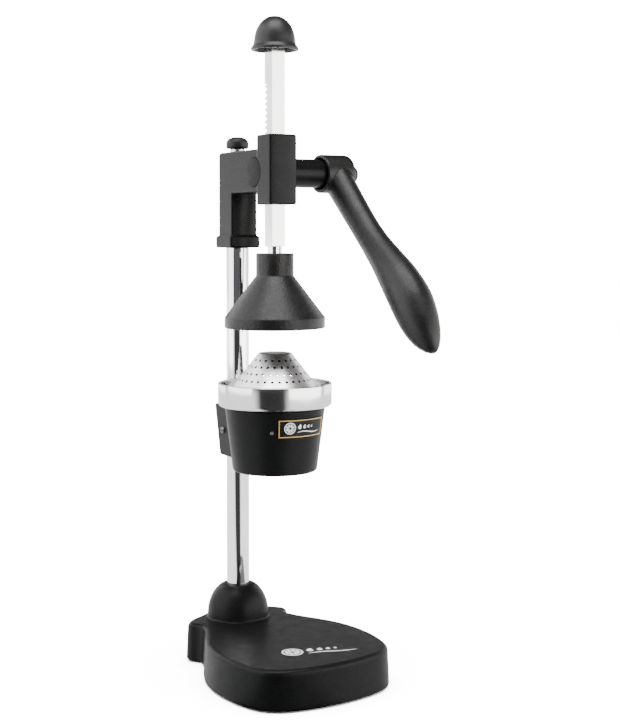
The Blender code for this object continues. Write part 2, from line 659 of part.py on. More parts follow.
def pinion_outline():
    """Involute teeth, thinned a little so that they run freely in the rack."""
    base_r = PITCH_R * math.cos(PRESSURE_ANGLE)

    def involute(radius):
        roll = math.sqrt(max((radius / base_r) ** 2 - 1.0, 0.0))
        return roll - math.atan(roll)

    flank = [base_r, PITCH_R - 0.1, PITCH_R + 0.7, PINION_TIP_R]
    half = (PITCH - BACKLASH) / 4 / PITCH_R + involute(PITCH_R)
    spread = [(PINION_ROOT_R, half - 0.05)] + [(radius, half - involute(radius)) for radius in flank]
    points = []
    for tooth in range(TEETH):
        middle = math.pi + math.tau * tooth / TEETH
        for radius, angle in spread:
            points.append((radius, middle - angle))
        for radius, angle in reversed(spread):
            points.append((radius, middle + angle))
    return [(radius * math.cos(angle), radius * math.sin(angle)) for radius, angle in points]


def make_pinion_shaft(steel, parent):
    """Shaft with the pinion cut on it; a tooth points straight at the rack."""
    gear = side_prism(pinion_outline(), PINION_HALF)
    shaft = mesh_object("pinion_shaft", gear, steel, parent)
    corners = [(0.0, STUB_END), (STUB_R, STUB_END), (STUB_R, HUB_END - 1.5), (SHAFT_R, HUB_END - 1.5),
               (SHAFT_R, PINION_HALF - 1.0), (JOURNAL_R, PINION_HALF - 2.0),
               (JOURNAL_R, 1.6 - BLOCK_HALF), (0.0, 1.6 - BLOCK_HALF)]
    join(shaft, turned(corners, ROUND_MEDIUM, "X"))


# Bowl

def bowl_radius(height):
    """Outer radius of the bowl's tapered wall."""
    return BOWL_FOOT_R + (BOWL_TOP_R - BOWL_FOOT_R) * (height - BOWL_LOW) / (BOWL_TOP - BOWL_LOW)


def make_bowl(black, parent):
    """Tapered bowl with a drain in its floor and a lug behind it that grips the column."""
    place = (0.0, -ARM, 0.0)
    spout_r = DRAIN_R + DRAIN_OVER
    corners = [(0.0, LIP_TOP, 0.0), (LIP_R, LIP_TOP, 0.0), (LIP_R, BOWL_TOP, 0.0),
               (BOWL_TOP_R, BOWL_TOP, 0.6), (BOWL_FOOT_R, BOWL_LOW, 2.0), (spout_r, BOWL_LOW, 0.0),
               (spout_r, BOWL_LOW - 3.0, 0.0), (0.0, BOWL_LOW - 3.0, 0.0)]
    bowl = mesh_object("juice_bowl", turned(soften(corners, 2), ROUND_LARGE), black, parent, place)
    join(bowl, lug_shape(), (0.0, ARM, 0.0))
    inside = [(0.0, LIP_TOP + 3.0), (LIP_R - 2.2, LIP_TOP + 3.0), (LIP_R - 2.2, BOWL_TOP - 2.0),
              (BOWL_FOOT_R - BOWL_WALL, BOWL_LOW + 7.0), (BOWL_FOOT_R - BOWL_WALL - 2.6, BOWL_LOW + 5.0),
              (DRAIN_R + 1.5, BOWL_LOW + 3.2), (DRAIN_R, BOWL_LOW + 2.0), (DRAIN_R, BOWL_LOW - 6.0),
              (0.0, BOWL_LOW - 6.0)]
    cut(bowl, turned(inside, ROUND_LARGE))
    column_hole = disc_profile(TUBE_R + GAP, LUG_BOTTOM - 5.0, LUG_TOP + 5.0)
    cut(bowl, turned(column_hole, ROUND_MEDIUM), (0.0, ARM, 0.0))
    clamp_hole = disc_profile(CLAMP_R + GAP, -LUG_TOP_HALF - 6.0, -TUBE_R)
    cut(bowl, turned(clamp_hole, ROUND_SMALL, "X"), (0.0, ARM, CLAMP_Z))
    cut(bowl, rivet_shape(RIVET_R + GAP, bowl_radius(RIVET_Z) - 2.2, bowl_radius(RIVET_Z) + 2.0, 0.0))


def lug_shape():
    """The clamp lug in column coordinates; it narrows downward."""
    loops = []
    ends = ((LUG_LOW_HALF, LUG_LOW_BACK, LUG_BOTTOM), (LUG_TOP_HALF, LUG_TOP_BACK, LUG_TOP))
    for half, back, z in ends:
        corners = [(-half, LUG_FRONT, 0.0), (half, LUG_FRONT, 0.0), (half, back, 5.0), (-half, back, 5.0)]
        loops.append([(x, y, z) for x, y in soften(corners)])
    return loft(loops)


def rivet_shape(radius, near, far, head):
    """A radial pin in the bowl's wall, with a low round head if one is asked for."""
    profile = disc_profile(radius, near, far)
    if head:
        profile = [(0.0, far + 0.9), (head * 0.7, far + 0.6), (head, far), (radius, far), (radius, near),
                   (0.0, near)]
    bm = turned(profile, ROUND_SMALL, "X")
    turn = Matrix.Rotation(math.radians(-90.0) + RIVET_ANGLE, 3, "Z")
    bmesh.ops.rotate(bm, matrix=turn, verts=bm.verts)
    bmesh.ops.translate(bm, vec=(0.0, 0.0, RIVET_Z), verts=bm.verts)
    return bm


def make_bowl_fittings(chrome, steel, badge_material, parent):
    place = (0.0, -ARM, 0.0)
    corners = [(44.6, RING_HIGH, 0.0), (RING_R, RING_HIGH - 0.5, 0.4), (RING_R, RING_LOW + 1.5, 3.2),
               (41.2, RING_LOW, 1.0), (LIP_R + GAP, RING_LOW, 0.0), (LIP_R + GAP, RING_FLOOR, 0.0),
               (RING_INNER_R, RING_FLOOR, 0.0), (RING_INNER_R, RING_HIGH - 0.5, 0.0)]
    mesh_object("collar_ring", turned(soften(corners, 2), ROUND_LARGE), chrome, parent, place)
    wall_r = bowl_radius(RIVET_Z)
    rivet = rivet_shape(RIVET_R, wall_r - 1.9, wall_r + GAP, RIVET_R + 0.6)
    mesh_object("bowl_rivet", rivet, steel, parent, place)
    mesh_object("badge_plate", badge_shape(), badge_material, parent, place)
    near = -TUBE_R - 2 * GAP
    profile = [(0.0, near), (CLAMP_R, near), (CLAMP_R, -CLAMP_FACE - 0.6), (CLAMP_R - 0.6, -CLAMP_FACE - 1.6),
               (0.0, -CLAMP_FACE - 1.8)]
    screw = mesh_object("clamp_screw", turned(profile, ROUND_SMALL, "X"), steel, parent, (0.0, 0.0, CLAMP_Z))
    cut(screw, block((-CLAMP_FACE - 3.0, -0.4, -4.0), (-CLAMP_FACE - 0.7, 0.4, 4.0)))


def badge_shape(steps=10):
    """A thin plate wrapped round the front of the bowl's tapered wall."""
    loops = []
    for step in range(steps + 1):
        angle = math.radians(-90.0) + BADGE_CENTRE + BADGE_SPAN * (step / steps - 0.5)
        corners = []
        face = GAP + BADGE_THICK
        for height, out in ((BADGE_LOW, GAP), (BADGE_LOW, face), (BADGE_HIGH, face), (BADGE_HIGH, GAP)):
            radius = bowl_radius(height) + out
            corners.append((radius * math.cos(angle), radius * math.sin(angle), height))
        loops.append(corners)
    return loft(loops)


def make_strainer(steel, parent):
    """Perforated cone on a flat flange that rests in the ring."""
    shoulder = CONE_TOP - CONE_EDGE
    slope = (CONE_FOOT_R - CONE_TOP_R) / (shoulder - CONE_FOOT)
    low = CONE_FOOT - CONE_WALL
    inner_foot = CONE_TOP_R - CONE_SKIN + (shoulder - low) * slope
    profile = [(0.0, CONE_TOP), (CONE_TOP_R - 0.8, CONE_TOP), (CONE_TOP_R, shoulder),
               (CONE_FOOT_R, CONE_FOOT), (CONE_FLANGE_R, CONE_FOOT), (CONE_FLANGE_R, low),
               (inner_foot, low), (CONE_TOP_R - CONE_SKIN, CONE_TOP - CONE_WALL), (0.0, CONE_TOP - CONE_WALL)]
    cone = mesh_object("strainer_cone", turned(profile, ROUND_LARGE), steel, parent, (0.0, -ARM, 0.0))
    drills = bmesh.new()
    lean = Matrix.Rotation(math.atan(1.0 / slope), 3, "Y")
    for height, count in HOLE_ROWS:
        radius = CONE_TOP_R + (shoulder - height) * slope
        for index in range(count):
            turn = Matrix.Rotation(math.tau * (index + 0.5 * (count % 2)) / count, 3, "Z")
            add_drill(drills, turn, lean, (radius, 0.0, height))
    for ring_r, count in TOP_HOLES:
        for index in range(count):
            turn = Matrix.Rotation(math.tau * index / count, 3, "Z")
            add_drill(drills, turn, Matrix.Identity(3), (ring_r, 0.0, CONE_TOP - CONE_WALL / 2))
    cut(cone, drills)


def add_drill(bm, turn, lean, place):
    """One five-sided drill through the wall at a place, turned round the cone's axis."""
    drill = turned(disc_profile(HOLE_R, -2.0, 2.0), 5)
    bmesh.ops.rotate(drill, matrix=lean, verts=drill.verts)
    bmesh.ops.translate(drill, vec=place, verts=drill.verts)
    bmesh.ops.rotate(drill, matrix=turn, verts=drill.verts)
    copied = {vert: bm.verts.new(vert.co) for vert in drill.verts}
    for face in drill.faces:
        bm.faces.new([copied[vert] for vert in face.verts])
    drill.free()


def main():
    clear_scene()
    black = make_material("black_enamel", (0.018, 0.018, 0.02), 0.42)
    satin = make_material("black_plastic", (0.022, 0.022, 0.024), 0.5)
    rubber = make_material("rubber", (0.03, 0.03, 0.03), 0.85)
    chrome = make_material("chrome", (0.8, 0.8, 0.8), 0.12, 1.0)
    steel = make_material("steel", (0.62, 0.61, 0.6), 0.3, 1.0)
    bronze = make_material("bronze", (0.55, 0.38, 0.16), 0.4, 1.0)
    badge = make_material("badge", (0.5, 0.34, 0.1), 0.4, 0.6)

    press = make_empty("press", None, (COLUMN_X, COLUMN_Y, 0.0))
    lever = make_empty("lever_axis", press, (0.0, PINION_Y, PINION_Z))
    ram = make_empty("ram_axis", press, (0.0, -ARM, 0.0))
    bowl = make_empty("bowl_axis", press, (0.0, 0.0, 0.0))
    knob = make_empty("knob_axis", press, (0.0, 0.0, 0.0))

    make_base(black, press)
    for corner, place in FOOT_PLACES.items():
        make_foot("foot_" + corner, place, rubber, press)
    make_column(chrome, steel, press)
    hex_bolt("base_bolt", BOLT_HEAD_LOW, BOSS_BOTTOM - 2 * GAP - WASHER, BOLT_ACROSS, BOLT_R, BOLT_TOP,
             steel, press)
    make_head(black, press)
    make_head_fittings(black, bronze, steel, press)
    make_knob(satin, steel, knob)
    make_rack(steel, ram)
    make_rack_cap(satin, ram)
    make_presser(black, steel, ram)
    make_lever(black, lever)
    make_lever_fittings(satin, steel, lever)
    make_pinion_shaft(steel, lever)
    make_bowl(black, bowl)
    make_bowl_fittings(chrome, steel, badge, bowl)
    make_strainer(steel, bowl)


main()
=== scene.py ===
import json
import math

import bmesh
import bpy
from mathutils import Matrix, Vector


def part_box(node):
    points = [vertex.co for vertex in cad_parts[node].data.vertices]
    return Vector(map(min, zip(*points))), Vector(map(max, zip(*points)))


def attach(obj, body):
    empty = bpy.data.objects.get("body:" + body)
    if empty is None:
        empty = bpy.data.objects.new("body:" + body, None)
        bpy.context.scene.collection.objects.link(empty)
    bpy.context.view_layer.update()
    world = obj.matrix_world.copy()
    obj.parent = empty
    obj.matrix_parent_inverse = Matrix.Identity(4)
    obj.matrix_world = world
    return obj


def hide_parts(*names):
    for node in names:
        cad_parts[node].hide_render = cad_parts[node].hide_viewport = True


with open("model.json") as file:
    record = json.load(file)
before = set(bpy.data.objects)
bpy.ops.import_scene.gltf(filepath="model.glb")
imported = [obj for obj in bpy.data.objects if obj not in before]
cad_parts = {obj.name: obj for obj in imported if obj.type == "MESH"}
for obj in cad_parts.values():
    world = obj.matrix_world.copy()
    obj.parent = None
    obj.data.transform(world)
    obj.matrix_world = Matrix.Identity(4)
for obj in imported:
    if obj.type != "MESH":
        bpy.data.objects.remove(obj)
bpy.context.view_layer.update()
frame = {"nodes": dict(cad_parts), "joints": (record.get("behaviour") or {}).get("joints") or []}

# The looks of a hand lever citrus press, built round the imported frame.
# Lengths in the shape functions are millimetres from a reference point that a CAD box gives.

MM = 0.001
GAP = 0.3                             # room between parts that fit into each other


def box_of(node):
    low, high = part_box(node)
    return low / MM, high / MM


def foot_of(node):
    """The middle of a node in plan, at its lowest height, in millimetres."""
    low, high = box_of(node)
    return Vector(((low.x + high.x) / 2, (low.y + high.y) / 2, low.z))


def left_of(node):
    """The middle of a node across X, at its end towards -X, in millimetres."""
    low, high = box_of(node)
    return Vector((low.x, (low.y + high.y) / 2, (low.z + high.z) / 2))


LEVER_JOINT = next(joint for joint in frame["joints"] if joint["name"] == "lever_turn")
COLUMN = Vector((*foot_of("column_tube").xy, 0.0))
PINION = Vector((COLUMN.x, LEVER_JOINT["pos_m"][1] / MM, LEVER_JOINT["pos_m"][2] / MM))
RACK = Vector((*foot_of("presser_cone").xy, 0.0))
BOWL = Vector((*foot_of("collar_ring").xy, 0.0))


# Mesh tools

def soften(corners, steps=8):
    """Points of a closed outline; a corner (x, y, radius) becomes an arc of that radius."""
    points = []
    count = len(corners)
    for index, (x, y, radius) in enumerate(corners):
        here = Vector((x, y))
        if radius <= 0:
            points.append((x, y))
            continue
        back = (Vector(corners[index - 1][:2]) - here).normalized()
        ahead = (Vector(corners[(index + 1) % count][:2]) - here).normalized()
        half = back.angle(ahead) / 2
        reach = radius / math.tan(half)
        centre = here + (back + ahead).normalized() * (radius / math.sin(half))
        first = here + back * reach - centre
        last = here + ahead * reach - centre
        turn = first.angle_signed(last)
        for step in range(steps + 1):
            spoke = Matrix.Rotation(-turn * step / steps, 2) @ first
            points.append(tuple(centre + spoke))
    return points


def curve_through(anchors, steps, closed=True):
    """Catmull-Rom points through anchors of any dimension."""
    points = []
    count = len(anchors)
    spans = count if closed else count - 1
    for index in range(spans):
        picks = [index + shift for shift in (-1, 0, 1, 2)]
        if closed:
            picks = [pick % count for pick in picks]
        else:
            picks = [min(max(pick, 0), count - 1) for pick in picks]
        p0, p1, p2, p3 = (Vector(anchors[pick]) for pick in picks)
        for step in range(steps):
            t = step / steps
            point = (2 * p1 + (p2 - p0) * t + (2 * p0 - 5 * p1 + 4 * p2 - p3) * t ** 2
                     + (3 * p1 - p0 - 3 * p2 + p3) * t ** 3) / 2
            points.append(tuple(point))
    if not closed:
        points.append(tuple(anchors[-1]))
    return points


def offset_loop(points, distance):
    """The loop moved along its outward normals; the loop runs anticlockwise."""
    moved = []
    count = len(points)
    for index, (x, y) in enumerate(points):
        before = Vector(points[index - 1])
        after = Vector(points[(index + 1) % count])
        along = (after - before).normalized()
        moved.append((x + along.y * distance, y - along.x * distance))
    return moved


def distance_to(point, outline):
    """Distance from a point to a closed outline."""
    best = math.inf
    for index, corner in enumerate(outline):
        start = Vector(outline[index - 1])
        edge = Vector(corner) - start
        along = max(0.0, min(1.0, (point - start).dot(edge) / edge.length_squared))
        best = min(best, (point - start - edge * along).length)
    return best


def inset_loop(points, distance):
    """The loop moved inward; where it would cross itself, its points are spread evenly past the crossing."""
    inner = offset_loop(points, -distance)
    clear = distance * 0.99
    good = [index for index, point in enumerate(inner) if distance_to(Vector(point), points) > clear]
    count = len(inner)
    for here, after in zip(good, good[1:] + [good[0] + count]):
        start, end = Vector(inner[here % count]), Vector(inner[after % count])
        for step in range(1, after - here):
            inner[(here + step) % count] = tuple(start.lerp(end, step / (after - here)))
    return inner


def loft(loops, closed=False):
    """Skin from loop to loop. A loop of one point is a pole; open lofts are capped."""
    bm = bmesh.new()
    rings = [[bm.verts.new(point) for point in loop] for loop in loops]
    pairs = list(zip(rings, rings[1:]))
    if closed:
        pairs.append((rings[-1], rings[0]))
    else:
        for cap in (rings[0], rings[-1]):
            if len(cap) > 1:
                bm.faces.new(cap)
    for low, high in pairs:
        count = max(len(low), len(high))
        for index in range(count):
            after = (index + 1) % count
            if len(low) == 1:
                bm.faces.new((low[0], high[index], high[after]))
            elif len(high) == 1:
                bm.faces.new((low[index], low[after], high[0]))
            else:
                bm.faces.new((low[index], low[after], high[after], high[index]))
    bmesh.ops.recalc_face_normals(bm, faces=bm.faces)
    caps = [face for face in bm.faces if len(face.verts) > 4]
    bmesh.ops.triangulate(bm, faces=caps)
    return bm


def turned(profile, sides=128, axis="Z"):
    """Solid of revolution of (radius, height) points; it is a ring if no point is on the axis."""
    loops = []
    for radius, height in profile:
        if radius < 1e-6:
            loops.append([(0.0, 0.0, height)])
            continue
        turn = [math.tau * index / sides for index in range(sides)]
        loops.append([(radius * math.cos(a), radius * math.sin(a), height) for a in turn])
    bm = loft(loops, closed=all(len(loop) > 1 for loop in loops))
    if axis == "X":
        bmesh.ops.rotate(bm, matrix=Matrix.Rotation(math.radians(90.0), 3, "Y"), verts=bm.verts)
    return bm


def slab(outline, low, high, edge, axis="Z"):
    """An outline pulled up from low to high, with its rims rounded."""
    steps = 6
    layers = []
    for step in range(steps + 1):
        turn = math.pi / 2 * step / steps
        layers.append((-edge * (1 - math.sin(turn)), low + edge * (1 - math.cos(turn))))
    for step in range(steps + 1):
        turn = math.pi / 2 * step / steps
        layers.append((-edge * (1 - math.cos(turn)), high - edge * (1 - math.sin(turn))))
    loops = []
    for out, height in layers:
        ring = offset_loop(outline, out)
        if axis == "Z":
            loops.append([(x, y, height) for x, y in ring])
        else:
            loops.append([(height, y, z) for y, z in ring])
    return loft(loops)


def disc(radius, low, high, edge=0.3):
    return soften([(0.0, high, 0.0), (radius, high, edge), (radius, low, edge), (0.0, low, 0.0)], 4)


def box_shape(low, high):
    corners = [(low[0], low[1]), (high[0], low[1]), (high[0], high[1]), (low[0], high[1])]
    return loft([[(x, y, z) for x, y in corners] for z in (low[2], high[2])])


def show(item):
    bpy.context.scene.collection.objects.link(item)
    return item


def make_piece(name, bm, place=(0.0, 0.0, 0.0), angle=32.0):
    """Link a shape made in millimetres as an object in metres."""
    bmesh.ops.translate(bm, vec=Vector(place), verts=bm.verts)
    bmesh.ops.scale(bm, vec=(MM, MM, MM), verts=bm.verts)
    mesh = bpy.data.meshes.new(name)
    bm.to_mesh(mesh)
    bm.free()
    item = show(bpy.data.objects.new(name, mesh))
    shade(item, angle)
    return item


def shade(item, angle=32.0):
    item.data.shade_smooth()
    item.data.set_sharp_from_angle(angle=math.radians(angle))


def bake(item):
    """Turn the modifiers into plain mesh."""
    view = bpy.context.evaluated_depsgraph_get()
    mesh = bpy.data.meshes.new_from_object(item.evaluated_get(view))
    item.modifiers.clear()
    old = item.data
    mesh.name = item.name
    item.data = mesh
    bpy.data.meshes.remove(old)


def carve(item, bm, place, operation="DIFFERENCE", solver="EXACT"):
    """Cut or join a shape and keep the result as plain mesh."""
    tool = make_piece(item.name + "_tool", bm, place)
    change = item.modifiers.new("carve", "BOOLEAN")
    change.operation = operation
    change.object = tool
    change.solver = solver
    bake(item)
    bpy.data.objects.remove(tool, do_unlink=True)


def fuse(item, voxel, rounds):
    """Melt joined shapes into one skin with soft inner corners, like a casting."""
    remesh = item.modifiers.new("skin", "REMESH")
    remesh.mode = "VOXEL"
    remesh.voxel_size = voxel * MM
    soft = item.modifiers.new("soft", "SMOOTH")
    soft.factor = 0.5
    soft.iterations = rounds
    bake(item)
    item.data.shade_smooth()


def even_normals(item, angle=32.0):
    shade(item, angle)
    modifier = item.modifiers.new("normals", "WEIGHTED_NORMAL")
    modifier.keep_sharp = True
    bake(item)


def finish(item, body, material, slot, *nodes):
    """Give a piece its material and its body, and hide the CAD nodes that it stands for."""
    item.data.materials.clear()
    item.data.materials.append(material)
    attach(item, body)
    if nodes:
        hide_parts(*nodes)


# Materials

class Nodes:
    """Short calls for building a material's node tree."""

    def __init__(self, name, colour, roughness, metallic=0.0):
        self.material = bpy.data.materials.new(name)
        self.material.use_nodes = True
        self.tree = self.material.node_tree
        self.shader = self.tree.nodes["Principled BSDF"]
        self.set("Base Color", (*colour, 1.0))
        self.set("Roughness", roughness)
        self.set("Metallic", metallic)
        self.place = self.add("ShaderNodeTexCoord").outputs["Object"]

    def add(self, kind, **inputs):
        node = self.tree.nodes.new(kind)
        for name, value in inputs.items():
            node.inputs[name.replace("_", " ")].default_value = value
        return node

    def link(self, source, target):
        self.tree.links.new(source, target)

    def set(self, socket, value):
        self.shader.inputs[socket].default_value = value

    def stretched(self, scale):
        mapping = self.add("ShaderNodeMapping", Scale=scale)
        self.link(self.place, mapping.inputs["Vector"])
        return mapping.outputs["Vector"]

    def noise(self, scale, detail=3.0, rough=0.5, vector=None):
        node = self.add("ShaderNodeTexNoise", Scale=scale, Detail=detail, Roughness=rough)
        self.link(vector or self.place, node.inputs["Vector"])
        return node.outputs["Fac"]

    def soft_cells(self, scale, smooth):
        node = self.add("ShaderNodeTexVoronoi")
        node.feature = "SMOOTH_F1"
        node.inputs["Scale"].default_value = scale
        node.inputs["Smoothness"].default_value = smooth
        self.link(self.place, node.inputs["Vector"])
        return node.outputs["Distance"]

    def spread(self, source, low, high, start=0.3, end=0.7):
        node = self.add("ShaderNodeMapRange", From_Min=start, From_Max=end, To_Min=low, To_Max=high)
        self.link(source, node.inputs["Value"])
        return node.outputs["Result"]

    def mix(self, factor, first, second):
        node = self.add("ShaderNodeMix")
        node.data_type = "RGBA"
        for socket, value in (("A", first), ("B", second)):
            target = next(s for s in node.inputs if s.name == socket and s.type == "RGBA")
            if isinstance(value, tuple):
                target.default_value = (*value, 1.0)
            else:
                self.link(value, target)
        self.link(factor, node.inputs["Factor"])
        return next(s for s in node.outputs if s.type == "RGBA")

    def roughness(self, source, low, high, start=0.3, end=0.7):
        self.link(self.spread(source, low, high, start, end), self.shader.inputs["Roughness"])

    def colour(self, source):
        self.link(source, self.shader.inputs["Base Color"])

    def bump(self, *layers):
        """Each layer is (height source, strength, distance in millimetres)."""
        normal = None
        for source, strength, distance in layers:
            node = self.add("ShaderNodeBump", Strength=strength, Distance=distance * MM)
            self.link(source, node.inputs["Height"])
            if normal:
                self.link(normal, node.inputs["Normal"])
            normal = node.outputs["Normal"]
        self.link(normal, self.shader.inputs["Normal"])


EDGE_STARTS = 0.53                    # pointiness where the painted edge highlight begins and where it is full
EDGE_FULL = 0.62
# strength of the painted highlight on the coats' edges
EDGE_HIGHLIGHT_STRENGTH = 0.6
ENAMEL_SPECULAR = 0.09
COAT_SPECULAR = 0.25


def painted_edge_highlight(nodes):
    """Painted highlight on the coat: lighter colour, most on outer edges, in patches."""
    geometry = nodes.add("ShaderNodeNewGeometry")
    edge = nodes.spread(geometry.outputs["Pointiness"], 0.0, EDGE_HIGHLIGHT_STRENGTH, EDGE_STARTS, EDGE_FULL)
    patches = nodes.spread(nodes.noise(140.0, 4.0, 0.6), 0.15, 1.0, 0.4, 0.62)
    both = nodes.add("ShaderNodeMath")
    both.operation = "MULTIPLY"
    nodes.link(edge, both.inputs[0])
    nodes.link(patches, both.inputs[1])
    return both.outputs["Value"]


def enamel(name, grain, depth, rough_low, rough_high, tone=0.0045, cool=1.06):
    """Black stove enamel over a casting: faint mottle, fine grain, edges painted a little lighter as a
    highlight.
    """
    nodes = Nodes(name, (tone, tone, tone * cool), rough_low)
    mottle = nodes.noise(38.0, 5.0, 0.6)
    dark = (tone * 0.8, tone * 0.8, tone * 0.82)
    light = (tone * 1.35, tone * 1.33, tone * 1.42)
    body = nodes.mix(nodes.spread(mottle, 0.0, 1.0), dark, light)
    speck = nodes.spread(nodes.noise(2400.0, 0.0), 0.0, 0.16, 0.72, 0.76)
    flecked = nodes.mix(speck, body, (0.1, 0.1, 0.1))
    # rims mixed towards a lighter grey: a painted highlight on the edges
    nodes.colour(nodes.mix(painted_edge_highlight(nodes), flecked, (tone * 6.0, tone * 6.0, tone * 6.2)))
    nodes.roughness(nodes.noise(90.0, 6.0, 0.65), rough_low, rough_high)
    fine = nodes.noise(grain, 2.0, 0.5)
    peel = nodes.noise(grain * 0.22, 2.0, 0.5)
    nodes.bump((peel, 0.25, depth * 2.0), (fine, 0.6, depth))
    nodes.set("Specular IOR Level", ENAMEL_SPECULAR)
    return nodes.material


def pebbled(name, grain, depth, rough_low, rough_high, tone=0.005):
    """Thick black powder coat with a pebbled skin."""
    nodes = Nodes(name, (tone, tone, tone * 1.05), rough_low)
    mottle = nodes.noise(60.0, 4.0)
    body = nodes.mix(nodes.spread(mottle, 0.0, 1.0), (tone * 0.8,) * 3, (tone * 1.3,) * 3)
    # rims mixed towards a lighter grey: a painted highlight on the edges
    nodes.colour(nodes.mix(painted_edge_highlight(nodes), body, (tone * 5.0,) * 3))
    pebble = nodes.soft_cells(grain, 0.6)
    swell = nodes.noise(grain * 0.5, 3.0, 0.6)
    nodes.roughness(nodes.noise(120.0, 5.0, 0.6), rough_low, rough_high)
    nodes.bump((swell, 0.5, depth * 1.4), (pebble, 0.8, depth))
    nodes.set("Specular IOR Level", COAT_SPECULAR)
    return nodes.material


def plated(name, colour, rough_low, rough_high, lines, depth):
    """Bright plated or polished metal; lines is the stretch of its polishing marks."""
    nodes = Nodes(name, colour, rough_low, 1.0)
    marks = nodes.noise(1.0, 4.0, 0.7, nodes.stretched(lines))
    haze = nodes.noise(45.0, 5.0, 0.6)
    nodes.roughness(haze, rough_low, rough_high)
    dull = tuple(channel * 0.93 for channel in colour)
    nodes.colour(nodes.mix(nodes.spread(haze, 0.0, 1.0, 0.35, 0.75), colour, dull))
    nodes.bump((marks, 0.35, depth))
    return nodes.material


def moulded_plastic(name, tone, rough_low, rough_high):
    nodes = Nodes(name, (tone, tone, tone * 1.04), rough_low)
    nodes.roughness(nodes.noise(80.0, 5.0, 0.6), rough_low, rough_high)
    soft = nodes.noise(55.0, 3.0)
    nodes.colour(nodes.mix(nodes.spread(soft, 0.0, 1.0), (tone * 0.85,) * 3, (tone * 1.25,) * 3))
    nodes.bump((nodes.noise(2200.0, 2.0), 0.35, 0.02))
    nodes.set("Specular IOR Level", COAT_SPECULAR)
    return nodes.material


def rubber_skin(name):
    nodes = Nodes(name, (0.02, 0.02, 0.02), 0.8)
    nodes.roughness(nodes.noise(150.0, 5.0), 0.68, 0.9)
    nodes.colour(nodes.mix(nodes.noise(90.0, 4.0), (0.014, 0.014, 0.014), (0.032, 0.031, 0.03)))
    nodes.bump((nodes.noise(1800.0, 3.0), 0.5, 0.05))
    return nodes.material


def printed(name, colour, roughness):
    """Screen-printed ink, slightly uneven."""
    nodes = Nodes(name, colour, roughness)
    worn = nodes.noise(420.0, 4.0, 0.7)
    faded = tuple(channel * 0.86 for channel in colour)
    nodes.colour(nodes.mix(nodes.spread(worn, 0.0, 1.0, 0.35, 0.7), colour, faded))
    nodes.roughness(worn, roughness * 0.9, min(roughness * 1.25, 1.0))
    nodes.bump((nodes.noise(1500.0, 2.0), 0.2, 0.01))
    return nodes.material


BASE_ENAMEL = enamel("base_enamel", 1500.0, 0.03, 0.34, 0.44)
HEAD_ENAMEL = enamel("head_enamel", 1300.0, 0.04, 0.26, 0.36)
BOWL_ENAMEL = enamel("bowl_enamel", 1500.0, 0.03, 0.33, 0.44)
PLUG_ENAMEL = enamel("plug_enamel", 1800.0, 0.03, 0.46, 0.56, 0.0035)
PRESSER_COAT = pebbled("presser_coat", 800.0, 0.24, 0.34, 0.46)
LEVER_COAT = pebbled("lever_coat", 1100.0, 0.14, 0.34, 0.46)
CAP_PLASTIC = moulded_plastic("cap_plastic", 0.009, 0.34, 0.46)
KNOB_PLASTIC = moulded_plastic("knob_plastic", 0.008, 0.45, 0.6)
CHROME = plated("column_chrome", (0.86, 0.86, 0.87), 0.045, 0.09, (900.0, 900.0, 12.0), 0.004)
RING_POLISH = plated("ring_polish", (0.66, 0.65, 0.645), 0.09, 0.15, (9.0, 9.0, 2600.0), 0.01)
STRAINER_STEEL = plated("strainer_steel", (0.78, 0.775, 0.765), 0.3, 0.38, (14.0, 14.0, 1800.0), 0.012)
RACK_NICKEL = plated("rack_nickel", (0.9, 0.895, 0.89), 0.1, 0.18, (60.0, 60.0, 1500.0), 0.008)
ZINC_STEEL = plated("zinc_steel", (0.62, 0.62, 0.63), 0.26, 0.4, (300.0, 300.0, 300.0), 0.02)
DULL_STEEL = plated("dull_steel", (0.16, 0.16, 0.165), 0.34, 0.5, (300.0, 300.0, 300.0), 0.02)
BRONZE = plated("bush_bronze", (0.6, 0.42, 0.2), 0.3, 0.45, (400.0, 40.0, 40.0), 0.02)
RUBBER = rubber_skin("foot_rubber")
WHITE_INK = printed("white_ink", (0.8, 0.8, 0.8), 0.5)
GOLD_INK = printed("gold_ink", (0.55, 0.33, 0.09), 0.38)
BADGE_FACE = enamel("badge_face", 2600.0, 0.008, 0.28, 0.36, 0.006)


# Base and column

BASE_OUTLINE = [(0.0, -156.0), (25.0, -153.8), (46.0, -147.8), (59.2, -135.5), (66.0, -113.0),
                (67.5, -87.0), (63.5, -63.0), (56.0, -45.0), (47.0, -28.0), (41.5, -14.0),
                (43.0, -7.0), (46.5, -3.0), (46.0, 4.0), (38.0, 12.5), (24.5, 19.5), (13.0, 27.0),
                (0.0, 29.5)]
BASE_TURN = math.radians(1.5)
BASE_DRAFT = 1.2
BASE_EDGE = 3.5
BASE_TOP = 32.0
BASE_WALL = 4.0
DECK = 5.0
DOME_R = 26.0
DOME_TOP = 60.5
BOSS_R = 16.0
BOSS_LOW = 9.0
TUBE_R = 9.5
TUBE_WALL = 1.5
BOLT_BORE = 4.3
PILLAR_R = 9.5                        # pads in the hollow that the feet plug into
PILLAR_LOW = 4.3


